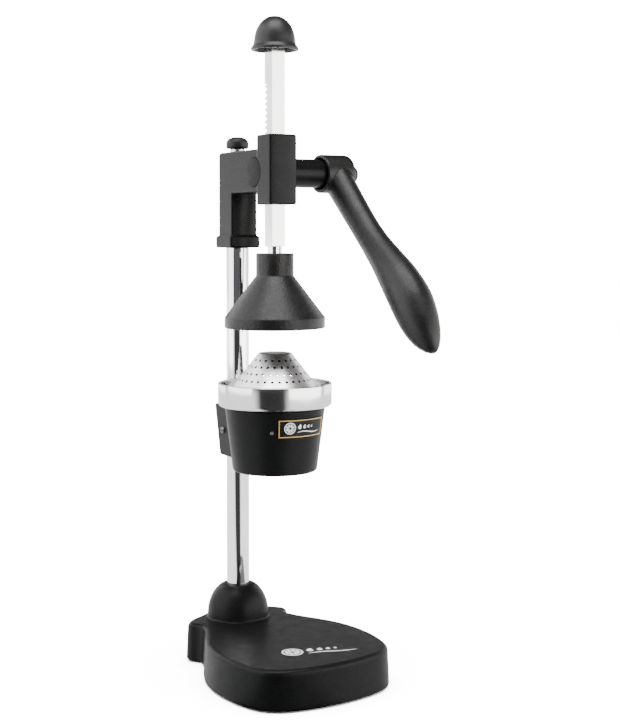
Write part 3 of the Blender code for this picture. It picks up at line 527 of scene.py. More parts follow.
def base_shape():
    mirrored = [(-x, y) for x, y in reversed(BASE_OUTLINE[1:-1])]
    turn = Matrix.Rotation(BASE_TURN, 2)
    outline = curve_through([turn @ Vector(point) for point in BASE_OUTLINE + mirrored], 8)
    low = box_of("base_casting")[0].z
    layers = [(BASE_DRAFT - 0.9, low), (BASE_DRAFT - 0.25, low + 0.25), (BASE_DRAFT, low + 0.9),
              (0.0, BASE_TOP - BASE_EDGE)]
    loops = [[(x, y, z) for x, y in offset_loop(outline, out)] for out, z in layers]
    for step in range(1, 9):
        turn = math.pi / 2 * step / 8
        rim = inset_loop(outline, BASE_EDGE * (1 - math.cos(turn)))
        loops.append([(x, y, BASE_TOP - BASE_EDGE * (1 - math.sin(turn))) for x, y in rim])
    inside = inset_loop(outline, BASE_WALL)
    hollow = [[(x, y, z) for x, y in inside] for z in (-1.0, BASE_TOP - DECK)]
    return loft(loops), loft(hollow)


def dome_curve():
    """The swelling round the column's foot, above its inner boss."""
    height = DOME_TOP - BASE_TOP
    points = [(0.0, BOSS_LOW), (BOSS_R, BOSS_LOW), (BOSS_R, BASE_TOP - 3.0), (DOME_R, BASE_TOP - 2.0)]
    for step in range(25):
        t = step / 24.0
        swell = (DOME_R - TUBE_R - 1.2) * (1.0 - t ** 2.3) ** 0.62
        points.append((TUBE_R + 1.2 + swell, BASE_TOP + height * t))
    return points + [(0.0, DOME_TOP)]


def make_base():
    shell, hollow = base_shape()
    base = make_piece("base_body", shell, COLUMN)
    carve(base, hollow, COLUMN)
    carve(base, turned(dome_curve(), 96), COLUMN, "UNION")
    feet = [Vector((*foot_of(name).xy, 0.0)) for name in frame["nodes"] if name.startswith("foot_")]
    for place in feet:
        pillar = soften([(0.0, BASE_TOP - 3.0, 0.0), (PILLAR_R, BASE_TOP - 3.0, 0.0),
                         (PILLAR_R, PILLAR_LOW, 0.8), (0.0, PILLAR_LOW, 0.0)])
        carve(base, turned(pillar, 48), place, "UNION")
    fuse(base, 0.8, 7)
    for place in feet:
        carve(base, turned(disc(2.8, 2.0, 12.0, 0.1), 32), place)
    bore = [(0.0, DOME_TOP + 2.0), (TUBE_R + GAP, DOME_TOP + 2.0), (TUBE_R + GAP, 14.0), (BOLT_BORE, 14.0),
            (BOLT_BORE, BOSS_LOW - 2.0), (0.0, BOSS_LOW - 2.0)]
    carve(base, turned(bore, 96), COLUMN)
    shade(base, 50.0)
    finish(base, "frame", BASE_ENAMEL, "black_enamel_iron", "base_casting")


def make_feet():
    profile = soften([(0.0, 11.0, 0.0), (2.5, 11.0, 0.3), (2.5, 4.0, 0.0), (8.0, 4.0, 0.4), (8.0, 0.0, 0.9),
                      (4.4, 0.0, 0.2), (4.0, 0.8, 0.2), (0.0, 0.8, 0.0)], 5)
    for corner in ("front_left", "front_right", "rear_left", "rear_right"):
        node = "foot_" + corner
        foot = make_piece("rubber_pad_" + corner, turned(profile, 64), foot_of(node))
        finish(foot, "frame", RUBBER, "foot_rubber", node)


def make_column():
    low, high = box_of("column_tube")
    inner = TUBE_R - TUBE_WALL
    profile = soften([(TUBE_R, high.z, 0.5), (TUBE_R, low.z, 0.5), (inner, low.z, 0.2),
                      (inner, high.z, 0.2)], 4)
    tube = make_piece("chromed_column", turned(profile, 128), COLUMN)
    finish(tube, "frame", CHROME, "chromed_tube", "column_tube")


# Head

BLOCK_HALF = 12.4
HEAD_HALF = 12.0
FRONT_SWELL = 2.0
BLOCK_FRONT = -77.7
BLOCK_BACK = -55.8
BLOCK_LOW = 380.0
BLOCK_HIGH = 436.0
BRIDGE_LOW = 390.0
BRIDGE_HIGH = 425.0
SOCKET_FRONT = -12.0
SOCKET_BACK = 11.5
SOCKET_LOW = 345.0
FLANGE_HIGH = 355.0
ARM = 64.0
BOSS_END = 58.0
BOSS_R_OUT = 11.8
BUSH_BORE = 8.3                       # bores along the pinion's axis, from the lever's side
BUSH_DEPTH = 15.3
SHAFT_BORE = 6.3
PINION_END = 21.5
PINION_BORE = 11.05
COVER_BORE = 12.25
COVER_SEAT = 3.0
RACK_SLOT = 6.3
COLLAR_BORE = 7.4
STUD_BORE = 3.3
TUBE_TOP = 416.0


def swelled(half, front, back, corner):
    """A block in plan: shallow arc in front, square behind, corners rounded; runs anticlockwise."""
    radius = (half ** 2 + FRONT_SWELL ** 2) / (2 * FRONT_SWELL)
    spread = math.asin(half / radius)
    arc = []
    for step in range(13):
        angle = spread * (2 * step / 12 - 1)
        arc.append((radius * math.sin(angle), front + radius * (math.cos(spread) - math.cos(angle)), 0.0))
    arc[0] = (*arc[0][:2], corner)
    arc[-1] = (*arc[-1][:2], corner)
    return soften(arc + [(half, back, corner), (-half, back, corner)], 5)


def make_head():
    end, foot = BLOCK_BACK - 9.0, SOCKET_LOW + 2.0
    side = soften([(end, BRIDGE_LOW, 0.0), (SOCKET_FRONT, BRIDGE_LOW, 1.6), (SOCKET_FRONT, foot, 0.0),
                   (SOCKET_BACK, foot, 0.0), (SOCKET_BACK, BRIDGE_HIGH, 3.0), (end, BRIDGE_HIGH, 0.0)], 6)
    head = make_piece("head_body", slab(side, -HEAD_HALF, HEAD_HALF, 1.5, "X"), COLUMN)
    block = swelled(BLOCK_HALF, BLOCK_FRONT, BLOCK_BACK, 1.4)
    carve(head, slab(block, BLOCK_LOW, BLOCK_HIGH, 1.3), COLUMN, "UNION")
    socket = swelled(HEAD_HALF, SOCKET_FRONT, 4.0, 1.0)
    carve(head, slab(socket, SOCKET_LOW + 1.0, BRIDGE_LOW + 3.0, 0.8), COLUMN, "UNION")
    flange = swelled(HEAD_HALF + 2.0, SOCKET_FRONT - 2.0, SOCKET_BACK + 2.0, 1.6)
    carve(head, slab(flange, SOCKET_LOW, FLANGE_HIGH, 1.4), COLUMN, "UNION")
    boss = [(0.0, BOSS_END, 0.0), (BOSS_R_OUT, BOSS_END, 0.8), (BOSS_R_OUT, BLOCK_HALF + 2.0, 0.0),
            (BOSS_R_OUT + 0.8, BLOCK_HALF + 0.4, 0.0), (BOSS_R_OUT + 1.8, BLOCK_HALF - 0.6, 0.0),
            (0.0, 0.0, 0.0)]
    carve(head, turned(soften(boss), 128, "X"), PINION, "UNION")
    fuse(head, 0.5, 3)
    bush_seat, cover_seat = BOSS_END - BUSH_DEPTH, COVER_SEAT - BLOCK_HALF
    bore = [(0.0, BOSS_END + 2.0), (BUSH_BORE, BOSS_END + 2.0), (BUSH_BORE, bush_seat),
            (SHAFT_BORE, bush_seat), (SHAFT_BORE, PINION_END), (PINION_BORE, PINION_END),
            (PINION_BORE, cover_seat), (COVER_BORE, cover_seat), (COVER_BORE, -BLOCK_HALF - 2.0),
            (0.0, -BLOCK_HALF - 2.0)]
    carve(head, turned(bore, 96, "X"), PINION)
    slot = box_shape((-RACK_SLOT, -RACK_SLOT, BLOCK_LOW - 5), (RACK_SLOT, RACK_SLOT, BLOCK_HIGH + 5))
    carve(head, slot, RACK)
    seat = BRIDGE_HIGH - 2.0
    column_bore = [(0.0, BRIDGE_HIGH + 2), (COLLAR_BORE, BRIDGE_HIGH + 2), (COLLAR_BORE, seat),
                   (STUD_BORE, seat), (STUD_BORE, TUBE_TOP), (TUBE_R + GAP, TUBE_TOP),
                   (TUBE_R + GAP, SOCKET_LOW - 2), (0.0, SOCKET_LOW - 2)]
    carve(head, turned(column_bore, 96), COLUMN)
    brake = Vector((RACK.x, RACK.y, foot_of("brake_screw").z + 2.6))
    carve(head, turned(disc(2.9, 6.0, BLOCK_HALF + 2.0, 0.05), 32, "X"), brake)
    shade(head, 38.0)
    finish(head, "frame", HEAD_ENAMEL, "black_enamel_alloy", "head_casting")


def make_head_fittings():
    profile = soften([(0.0, 4.6, 0.0), (10.4, 4.6, 0.0), (10.4, 2.9, 0.0), (12.0, 2.9, 0.2),
                      (12.0, 0.0, 0.35), (0.0, 0.0, 0.0)], 4)
    plug = make_piece("pinion_cover", turned(profile, 128, "X"), left_of("pinion_plug"))
    finish(plug, "frame", PLUG_ENAMEL, "black_enamel_alloy", "pinion_plug")
    place = left_of("brake_screw")
    length = box_of("brake_screw")[1].x - place.x
    grub = make_piece("brake_grub", turned(disc(2.6, 0.0, length, 0.5), 48, "X"), place)
    socket = turned([(0.0, 3.0), (1.5, 3.0), (1.5, 0.0), (0.0, 0.0)], 6, "X")
    carve(grub, socket, place + Vector((length - 1.6, 0, 0)))
    shade(grub)
    finish(grub, "frame", ZINC_STEEL, "steel_parts", "brake_screw")
    low, high = box_of("knob_washer")
    radius, tall = (high.x - low.x) / 2, high.z - low.z
    washer = soften([(radius, tall, 0.4), (radius, 0.0, 0.2), (STUD_BORE, 0.0, 0.1),
                     (STUD_BORE, tall, 0.1)], 3)
    ring = make_piece("seat_washer", turned(washer, 64), foot_of("knob_washer"))
    finish(ring, "frame", ZINC_STEEL, "steel_parts", "knob_washer")


KNOB_R = 9.45
KNOB_CROWN = 5.6
STUD_R = 3.0
THREAD_PITCH = 1.0


def make_knob():
    low, high = box_of("head_knob")
    height = high.z - low.z
    crown = [(0.0, height)]
    for step in range(1, 17):
        turn = math.pi / 2 * step / 16
        crown.append((KNOB_R * math.sin(turn) ** 0.82, height - KNOB_CROWN * (1 - math.cos(turn) ** 0.9)))
    rim = [(KNOB_R, 1.4), (KNOB_R - 0.25, 0.6), (KNOB_R - 0.9, 0.0), (6.2, 0.0), (5.9, 0.6), (STUD_BORE, 0.6),
           (STUD_BORE, 6.0), (0.0, 6.0)]
    knob = make_piece("knob_nut", turned(crown + rim, 128), foot_of("head_knob"))
    finish(knob, "knob", KNOB_PLASTIC, "black_plastic", "head_knob")
    low, high = box_of("knob_stud")
    length = high.z - low.z
    stud = [(0.0, length), (2.6, length)]
    for index in range(int((length - 1.0) / THREAD_PITCH)):
        top = length - 0.4 - index * THREAD_PITCH
        stud += [(STUD_R, top), (STUD_R - 0.45, top - THREAD_PITCH / 2)]
    stud += [(2.5, 0.0), (0.0, 0.0)]
    threaded = make_piece("knob_thread", turned(stud, 48), foot_of("knob_stud"), 60.0)
    finish(threaded, "knob", ZINC_STEEL, "steel_parts", "knob_stud")


# Rack, cap and presser

MODULE = 1.5
PITCH = math.pi * MODULE
PRESSURE_ANGLE = math.radians(20.0)
TIP_ABOVE = 0.95                      # tooth height above and below the pitch line
ROOT_BELOW = 1.9
TOOTH_PLAY = 0.5
RACK_HALF = 6.0
RACK_TEETH = 19
TEETH_LOW = 388.0
SPIGOT_HIGH = 346.6                   # top of the bar's round end


def rack_outline(low, high):
    """Side view of the bar as (y, z) with its teeth on the back face."""
    root = RACK_HALF - MODULE - ROOT_BELOW
    tip = RACK_HALF - MODULE + TIP_ABOVE
    slope = math.tan(PRESSURE_ANGLE)
    quarter = (PITCH - TOOTH_PLAY) / 4
    half_tip = quarter - TIP_ABOVE * slope
    half_root = quarter + ROOT_BELOW * slope
    first = PINION.z + PITCH / 2 - PITCH * 4
    points = [(-RACK_HALF, low), (RACK_HALF, low), (RACK_HALF, TEETH_LOW)]
    for tooth in range(RACK_TEETH):
        centre = first + PITCH * tooth
        points += [(root, centre - half_root), (tip, centre - half_tip), (tip, centre + half_tip),
                   (root, centre + half_root)]
    points.append((RACK_HALF, first + PITCH * (RACK_TEETH - 0.5)))
    return points + [(RACK_HALF, high), (-RACK_HALF, high)]


def make_rack():
    low, high = box_of("rack_bar")
    outline = rack_outline(SPIGOT_HIGH, high.z)
    bar = loft([[(x, y, z) for y, z in outline] for x in (-RACK_HALF, RACK_HALF)])
    rack = make_piece("toothed_rack", bar, RACK)
    bevel = rack.modifiers.new("edges", "BEVEL")
    bevel.width = 0.3 * MM
    bevel.segments = 3
    bevel.limit_method = "ANGLE"
    bevel.angle_limit = math.radians(40.0)
    bake(rack)
    spigot = disc(5.5, low.z, SPIGOT_HIGH + 2.0, 0.4)
    carve(rack, turned(spigot, 64), RACK, "UNION")
    even_normals(rack, 35.0)
    finish(rack, "ram", RACK_NICKEL, "nickel_bar", "rack_bar")


def make_rack_cap():
    """Domed cap with a flared brim; fins inside it hold the bar."""
    place = foot_of("rack_cap")
    crown = box_of("rack_cap")[1].z - place.z
    outer = [(0.0, crown)]
    for step in range(1, 25):
        turn = math.radians(90.0 - 84.0 * step / 24)
        outer.append((16.6 * math.cos(turn) ** 0.94, 6.4 + (crown - 6.4) * math.sin(turn)))
    brim = soften([(16.8, 6.6, 0.0), (17.1, 4.6, 2.0), (19.1, 1.9, 0.8), (19.1, 0.0, 0.5),
                   (17.2, 0.0, 0.4), (15.0, 4.4, 0.6), (14.2, 9.5, 2.0), (9.2, 11.4, 0.5),
                   (9.2, 17.4, 0.0), (0.0, 17.4, 0.0)], 4)
    cap = make_piece("rack_cap_shell", turned(outer + brim[1:], 128), place)
    for index in range(8):
        fin = box_shape((8.8, -0.55, 2.2), (15.4, 0.55, 11.8))
        bmesh.ops.rotate(fin, matrix=Matrix.Rotation(math.tau * (index + 0.5) / 8, 3, "Z"), verts=fin.verts)
        carve(cap, fin, place, "UNION")
    shade(cap, 40.0)
    finish(cap, "ram", CAP_PLASTIC, "black_plastic", "rack_cap")


def make_presser():
    corners = [(5.8, 60.0, 0.2), (15.2, 60.0, 0.9), (15.2, 42.0, 2.2), (40.5, 8.6, 1.1), (40.5, 0.0, 1.3),
               (37.6, 0.0, 1.0), (37.4, 4.5, 1.0), (18.6, 31.5, 3.0), (9.3, 31.5, 0.6), (9.3, 36.0, 0.4),
               (5.8, 36.0, 0.2)]
    place = foot_of("presser_cone")
    presser = make_piece("presser_cup", turned(soften(corners), 192), place, 50.0)
    finish(presser, "ram", PRESSER_COAT, "black_textured_alloy", "presser_cone")


# Lever

LEVER_ANGLE = math.radians(45.0)
LEVER_ROOT_X = 64.0
LEVER_SPLAY = 0.04
LEVER_SECTIONS = [(2.0, 13.4, 1.2), (34.0, 12.5, 0.3), (64.0, 12.0, -0.2), (84.0, 12.6, 0.5),
                  (104.0, 14.4, 2.0), (122.0, 16.6, 2.8), (138.0, 17.8, 2.4), (150.0, 18.0, 1.2),
                  (161.0, 17.0, -0.8), (171.0, 14.9, -2.6), (180.0, 11.7, -3.8), (187.5, 7.4, -4.4),
                  (192.0, 3.2, -4.6)]
LEVER_TIP = (193.4, -4.6)
GRIP_WIDE = 0.92                      # the oval's half axes over the section's radius
GRIP_TALL = 0.983
HUB_R = 16.0
HUB_START = 50.0
HUB_END = 77.0
HUB_RECESS_R = 13.2
HUB_RECESS_END = 60.0


def lever_ring(distance, radius, lift, sides=72):
    along = Vector((0.0, -math.sin(LEVER_ANGLE), -math.cos(LEVER_ANGLE)))
    up = Vector((0.0, -math.cos(LEVER_ANGLE), math.sin(LEVER_ANGLE)))
    centre = along * distance + up * lift + Vector((LEVER_ROOT_X + LEVER_SPLAY * distance, 0.0, 0.0))
    ring = []
    for index in range(sides):
        turn = math.tau * index / sides
        across = Vector((1.0, 0.0, 0.0)) * (radius * GRIP_WIDE * math.cos(turn))
        ring.append(centre + across + up * (radius * GRIP_TALL * math.sin(turn)))
    return ring


def make_lever():
    sections = curve_through(LEVER_SECTIONS, 5, closed=False)
    loops = [lever_ring(*section) for section in sections]
    loops.append([lever_ring(LEVER_TIP[0], 0.0, LEVER_TIP[1], 1)[0]])
    lever = make_piece("lever_body", loft(loops), PINION)
    hub = soften([(0.0, HUB_END, 0.0), (HUB_R, HUB_END, 2.8), (HUB_R, HUB_START, 1.0),
                  (0.0, HUB_START, 0.0)], 8)
    carve(lever, turned(hub, 128, "X"), PINION, "UNION")
    bore = [(0.0, HUB_END + 2.0), (SHAFT_BORE, HUB_END + 2.0), (SHAFT_BORE, HUB_RECESS_END),
            (HUB_RECESS_R, HUB_RECESS_END), (HUB_RECESS_R, HUB_START - 4.0), (0.0, HUB_START - 4.0)]
    carve(lever, turned(bore, 96, "X"), PINION)
    fuse(lever, 0.5, 8)
    shade(lever, 60.0)
    finish(lever, "lever", LEVER_COAT, "black_textured_alloy", "lever_arm")


def make_cap_nut():
    place = left_of("shaft_cap_nut")
    profile = soften([(0.0, 8.3, 0.0), (6.6, 8.3, 3.6), (7.55, 3.6, 1.2), (7.55, 0.0, 0.4), (3.3, 0.0, 0.1),
                      (3.3, 6.6, 0.0), (0.0, 6.6, 0.0)], 8)
    nut = make_piece("cap_nut", turned(profile, 96, "X"), place)
    finish(nut, "lever", KNOB_PLASTIC, "black_coated_steel", "shaft_cap_nut")


# Bowl, ring and strainer

BOWL_TOP_R = 40.5
BOWL_TOP = 217.3
BOWL_FOOT_R = 33.9
BOWL_LOW = 166.0
LIP_R = 38.3
DRAIN_R = 8.0


def bowl_radius(height):
    return BOWL_FOOT_R + (BOWL_TOP_R - BOWL_FOOT_R) * (height - BOWL_LOW) / (BOWL_TOP - BOWL_LOW)


def lug_shape():
    """The clamp lug in column coordinates, its edges rounded, narrowing downward."""
    low, high, edge = 169.0, 213.0, 1.6
    loops = []
    for height in (0.0, 0.35, 1.0, 1.6, 12.0, 24.0, 36.0, 42.4, 43.0, 43.65, 44.0):
        near_end = min(height, 44.0 - height, edge)
        inset = edge - math.sqrt(edge ** 2 - (edge - near_end) ** 2)
        share = height / (high - low)
        half = 12.0 + 4.0 * share - inset
        back = 12.8 + 1.5 * share - inset
        corners = [(-half, -ARM + 34.0, 0.0), (half, -ARM + 34.0, 0.0), (half, back, 4.5), (-half, back, 4.5)]
        loops.append([(x, y, low + height) for x, y in soften(corners, 8)])
    return loft(loops)


def make_bowl():
    corners = [(0.0, BOWL_TOP + 5.0, 0.0), (LIP_R, BOWL_TOP + 5.0, 0.4), (LIP_R, BOWL_TOP, 0.0),
               (BOWL_TOP_R, BOWL_TOP, 0.7), (BOWL_FOOT_R, BOWL_LOW, 2.4), (DRAIN_R + 2.0, BOWL_LOW, 1.0),
               (DRAIN_R + 2.0, BOWL_LOW - 3.0, 0.5), (0.0, BOWL_LOW - 3.0, 0.0)]
    bowl = make_piece("bowl_body", turned(soften(corners), 192), BOWL)
    carve(bowl, lug_shape(), COLUMN, "UNION")
    mouth = LIP_R - 2.2
    inside = soften([(0.0, BOWL_TOP + 8.0, 0.0), (mouth, BOWL_TOP + 8.0, 0.0), (mouth, BOWL_TOP - 2.0, 2.0),
                     (BOWL_FOOT_R - 3.4, BOWL_LOW + 5.5, 4.0), (DRAIN_R, BOWL_LOW + 2.6, 1.5),
                     (DRAIN_R, BOWL_LOW - 6.0, 0.0), (0.0, BOWL_LOW - 6.0, 0.0)], 6)
    carve(bowl, turned(inside, 160), BOWL)
    carve(bowl, turned(disc(TUBE_R + GAP, 160.0, 220.0, 0.1), 96), COLUMN)
    clamp = Vector((COLUMN.x, COLUMN.y, left_of("clamp_screw").z))
    carve(bowl, turned(disc(3.1, -22.0, -TUBE_R, 0.1), 48, "X"), clamp)
    even_normals(bowl, 34.0)
    finish(bowl, "bowl", BOWL_ENAMEL, "black_enamel_alloy", "juice_bowl")


def make_ring():
    low, high = box_of("collar_ring")
    tall = high.z - low.z
    corners = [(43.8, tall, 0.7), (45.9, tall, 0.9), (45.9, 1.2, 3.6), (41.2, 0.0, 1.2), (38.6, 0.0, 0.3),
               (38.6, 6.1, 0.3), (43.7, 6.1, 0.5), (43.7, 8.0, 0.0)]
    place = BOWL + Vector((0, 0, low.z))
    ring = make_piece("polished_collar", turned(soften(corners, 6), 256), place, 40.0)
    finish(ring, "bowl", RING_POLISH, "polished_ring", "collar_ring")


CONE_TOP_R = 13.7
CONE_FOOT_R = 41.0
CONE_RIM_R = 43.3
HOLE_R = 1.15
HOLE_ROWS = [(255.6, 20), (250.6, 24), (245.2, 28), (239.8, 32)]
TOP_HOLES = [(3.6, 5), (8.6, 10)]


def drill_at(bm, turn, lean, place):
    """Add one drill through the wall at a place, turned round the cone's axis."""
    drill = turned([(0.0, 2.0), (HOLE_R, 2.0), (HOLE_R, -2.0), (0.0, -2.0)], 20)
    bmesh.ops.rotate(drill, matrix=lean, verts=drill.verts)
    bmesh.ops.translate(drill, vec=place, verts=drill.verts)
    bmesh.ops.rotate(drill, matrix=turn, verts=drill.verts)
    copied = {vert: bm.verts.new(vert.co) for vert in drill.verts}
    for face in drill.faces:
        bm.faces.new([copied[vert] for vert in face.verts])
    drill.free()


def make_strainer():
    low, high = box_of("strainer_cone")
    top, foot = high.z, low.z + 0.9
    slope = (CONE_FOOT_R - CONE_TOP_R) / (top - 0.6 - foot)
    inner = CONE_TOP_R - 1.15 + (top - 0.6 - low.z) * slope
    profile = soften([(0.0, top, 0.0), (CONE_TOP_R - 0.5, top, 2.2), (CONE_FOOT_R, foot, 1.0),
                      (CONE_RIM_R, foot, 0.3), (CONE_RIM_R, low.z, 0.3), (inner, low.z, 0.3),
                      (CONE_TOP_R - 1.3, top - 0.9, 1.4), (0.0, top - 0.9, 0.0)], 6)
    cone = make_piece("pierced_cone", turned(profile, 192), BOWL)
    drills = bmesh.new()
    lean = Matrix.Rotation(math.atan(1.0 / slope), 3, "Y")
    for height, count in HOLE_ROWS:
        radius = CONE_TOP_R + (top - 0.6 - height) * slope
        for index in range(count):
            turn = Matrix.Rotation(math.tau * (index + 0.5 * (count % 2)) / count, 3, "Z")
            drill_at(drills, turn, lean, (radius, 0.0, height))
    for ring_r, count in TOP_HOLES:
        for index in range(count):
            turn = Matrix.Rotation(math.tau * index / count, 3, "Z")
            drill_at(drills, turn, Matrix.Identity(3), (ring_r, 0.0, top - 0.45))
    carve(cone, drills, BOWL, solver="MANIFOLD")
    even_normals(cone, 35.0)
    finish(cone, "bowl", STRAINER_STEEL, "stainless_sheet", "strainer_cone")


def make_screws():
    place = left_of("clamp_screw")
    length = box_of("clamp_screw")[1].x - place.x
    profile = soften([(0.0, length, 0.0), (2.8, length, 0.0), (2.8, 1.4, 0.5), (1.9, 0.0, 1.2),
                      (0.0, 0.0, 0.0)], 5)
    screw = make_piece("lug_screw", turned(profile, 64, "X"), place)
    for turn in (0.0, 90.0):
        slot = box_shape((-1.0, -0.38, -1.75), (1.5, 0.38, 1.75))
        bmesh.ops.rotate(slot, matrix=Matrix.Rotation(math.radians(turn + 20.0), 3, "X"), verts=slot.verts)
        carve(screw, slot, place)
    shade(screw)
    finish(screw, "bowl", DULL_STEEL, "steel_parts", "clamp_screw")


# Badge and printed mark

BADGE_CENTRE = math.radians(6.0)
BADGE_LOW = 196.8
BADGE_HIGH = 211.6
BADGE_WRAP_R = bowl_radius(204.0)
BADGE_THICK = 0.45


def badge_point(u, v, out):
    """A point on the bowl's wall: u along the wall, v up from the badge's middle, out of the wall."""
    height = (BADGE_LOW + BADGE_HIGH) / 2 + v
    angle = math.radians(-90.0) + BADGE_CENTRE + u / BADGE_WRAP_R
    radius = bowl_radius(height) + GAP + out
    return Vector((radius * math.cos(angle), radius * math.sin(angle), height)) + BOWL


DECK_MARK = Vector((9.0, -119.0, 0.0))
DECK_MARK_TURN = math.radians(-14.0)


def deck_point(u, v, out):
    spot = Matrix.Rotation(DECK_MARK_TURN, 3, "Z") @ Vector((u, v, 0.0))
    return spot + DECK_MARK + COLUMN + Vector((0.0, 0.0, BASE_TOP + out))


def add_patch(bm, spot, surface, low, high, across, along):
    """A thin closed patch: spot(s, t) gives its flat place, surface lays it on the object."""
    layers = []
    for out in (low, high):
        layers.append([[bm.verts.new(surface(*spot(i / across, j / along), out)) for j in range(along + 1)]
                       for i in range(across + 1)])
    below, above = layers
    for i in range(across):
        for j in range(along):
            bm.faces.new((above[i][j], above[i + 1][j], above[i + 1][j + 1], above[i][j + 1]))
            bm.faces.new((below[i][j], below[i][j + 1], below[i + 1][j + 1], below[i + 1][j]))
    rim = [(i, 0) for i in range(across)] + [(across, j) for j in range(along)]
    rim += [(i, along) for i in range(across, 0, -1)] + [(0, j) for j in range(along, 0, -1)]
    for (i, j), (k, m) in zip(rim, rim[1:] + rim[:1]):
        bm.faces.new((below[i][j], below[k][m], above[k][m], above[i][j]))


def strip(u0, v0, u1, v1):
    return lambda s, t: (u0 + (u1 - u0) * s, v0 + (v1 - v0) * t)


def sector(centre, near, far, start, end):
    """A piece of a ring round a centre, between two radii and two angles in degrees."""
    def spot(s, t):
        angle = math.radians(start + (end - start) * s)
        radius = near + (far - near) * t
        return centre[0] + radius * math.cos(angle), centre[1] + radius * math.sin(angle)
    return spot


def drop(centre, size, lean):
    """A juice drop: round below, pointed above."""
    def spot(s, t):
        angle = math.tau * s
        reach = size * t * (1.0 + 0.55 * max(math.sin(angle), 0.0) ** 5)
        squeeze = 1.0 - 0.35 * max(math.sin(angle), 0.0)
        x, y = reach * math.cos(angle) * squeeze, reach * math.sin(angle)
        return (centre[0] + x * math.cos(lean) - y * math.sin(lean),
                centre[1] + x * math.sin(lean) + y * math.cos(lean))
    return spot


def wave(u0, u1, base, rise, thick):
    """A tapering wavy stroke."""
    def spot(s, t):
        body = thick * math.sin(math.pi * min(max(s, 0.02), 0.98)) ** 0.6
        return u0 + (u1 - u0) * s, base + rise * math.sin(math.tau * s) + body * (t - 0.5)
    return spot


def citrus_mark(surface, size, low, high):
    """A plain mark: a citrus slice, drops of juice and a wavy line."""
    bm = bmesh.new()
    middle = (-2.6 * size, 0.1 * size)
    add_patch(bm, sector(middle, 0.84 * size, size, 0.0, 359.5), surface, low, high, 72, 1)
    for index in range(8):
        start = 45.0 * index + 5.0
        add_patch(bm, sector(middle, 0.2 * size, 0.72 * size, start, start + 35.0), surface, low, high, 6, 3)
    for index, (u, scale) in enumerate(((-0.9, 0.42), (0.05, 0.34), (0.85, 0.27), (1.55, 0.2))):
        add_patch(bm, drop((u * size, 0.25 * size), scale * size * 0.8, -0.3), surface, low, high, 28, 2)
    stroke = wave(-1.3 * size, 3.4 * size, -0.62 * size, 0.12 * size, 0.2 * size)
    add_patch(bm, stroke, surface, low, high, 40, 1)
    bmesh.ops.remove_doubles(bm, verts=bm.verts, dist=1e-4)
    bmesh.ops.recalc_face_normals(bm, faces=bm.faces)
    return bm


def make_badge():
    half_u = BADGE_WRAP_R * math.radians(32.0)
    half_v = (BADGE_HIGH - BADGE_LOW) / 2
    plate = bmesh.new()
    add_patch(plate, strip(-half_u, -half_v, half_u, half_v), badge_point, 0.0, BADGE_THICK, 48, 2)
    bmesh.ops.recalc_face_normals(plate, faces=plate.faces)
    finish(make_piece("badge_face_plate", plate), "bowl", BADGE_FACE, "badge_face", "badge_plate")
    border = bmesh.new()
    outer_u, outer_v, wide = half_u - 0.5, half_v - 0.5, 0.75
    lines = [(-outer_u, v, outer_u, v + wide, 48, 1) for v in (-outer_v, outer_v - wide)]
    lines += [(u, -outer_v + wide, u + wide, outer_v - wide, 1, 8) for u in (-outer_u, outer_u - wide)]
    for *corners, across, along in lines:
        add_patch(border, strip(*corners), badge_point, BADGE_THICK, 0.6, across, along)
    bmesh.ops.recalc_face_normals(border, faces=border.faces)
    finish(make_piece("badge_border", border), "bowl", GOLD_INK, "badge_face")
    mark = make_piece("badge_mark", citrus_mark(badge_point, 4.7, BADGE_THICK, 0.56))
    finish(mark, "bowl", WHITE_INK, "badge_face")
    print_mark = make_piece("deck_mark", citrus_mark(deck_point, 8.5, 0.0, 0.06))
    finish(print_mark, "frame", WHITE_INK, "badge_face")


def dress_inner_nodes():
    """CAD nodes whose own shape is right get their finished material."""
    looks = [(ZINC_STEEL, ("tube_bottom_plug", "tube_top_plug", "base_bolt", "base_washer", "pinion_shaft",
                           "thrust_washer", "lever_grub_screw", "presser_washer", "presser_bolt")),
             (BRONZE, ("bush_inner", "bush_outer", "brake_pad")),
             (DULL_STEEL, ("bowl_rivet",))]
    for material, names in looks:
        for name in names:
            slots = frame["nodes"][name].data.materials
            slots.clear()
            slots.append(material)


# Studio

HEADING = math.radians(31.0)          # the main camera looks along (sin, cos) of this in plan
PITCH_DOWN = math.radians(1.72)
CAMERA_HEIGHT = 355.5
CAMERA_DISTANCE = 1089.2
CAMERA_SIDE = 28.3
SENSOR = 36.0
FOCAL = 1353.0 / 726.0                # focal length over the picture's height
SHIFT = 0.12
FLOOR_RADIUS = 60000.0
BACKDROP = 16.0                       # brightness of the backdrop and the lit floor
FLOOR_ALBEDO = 0.9                    # as the camera sees it
FLOOR_SIDES = 0.11                    # as the press sees it
FLOOR_FRONT = 0.003
DARK_BEARING = math.radians(4.5)      # middle, half width and soft edge of the floor's dark part
DARK_HALF = math.radians(30.0)
DARK_FADE = math.radians(7.0)
GLOW_SPREAD = math.radians(75.0)
ROOM_STRENGTH = 0.25
ROOM_TINT = (0.5, 0.5, 0.52, 1.0)
AIM_HEIGHT = 0.27                     # metres


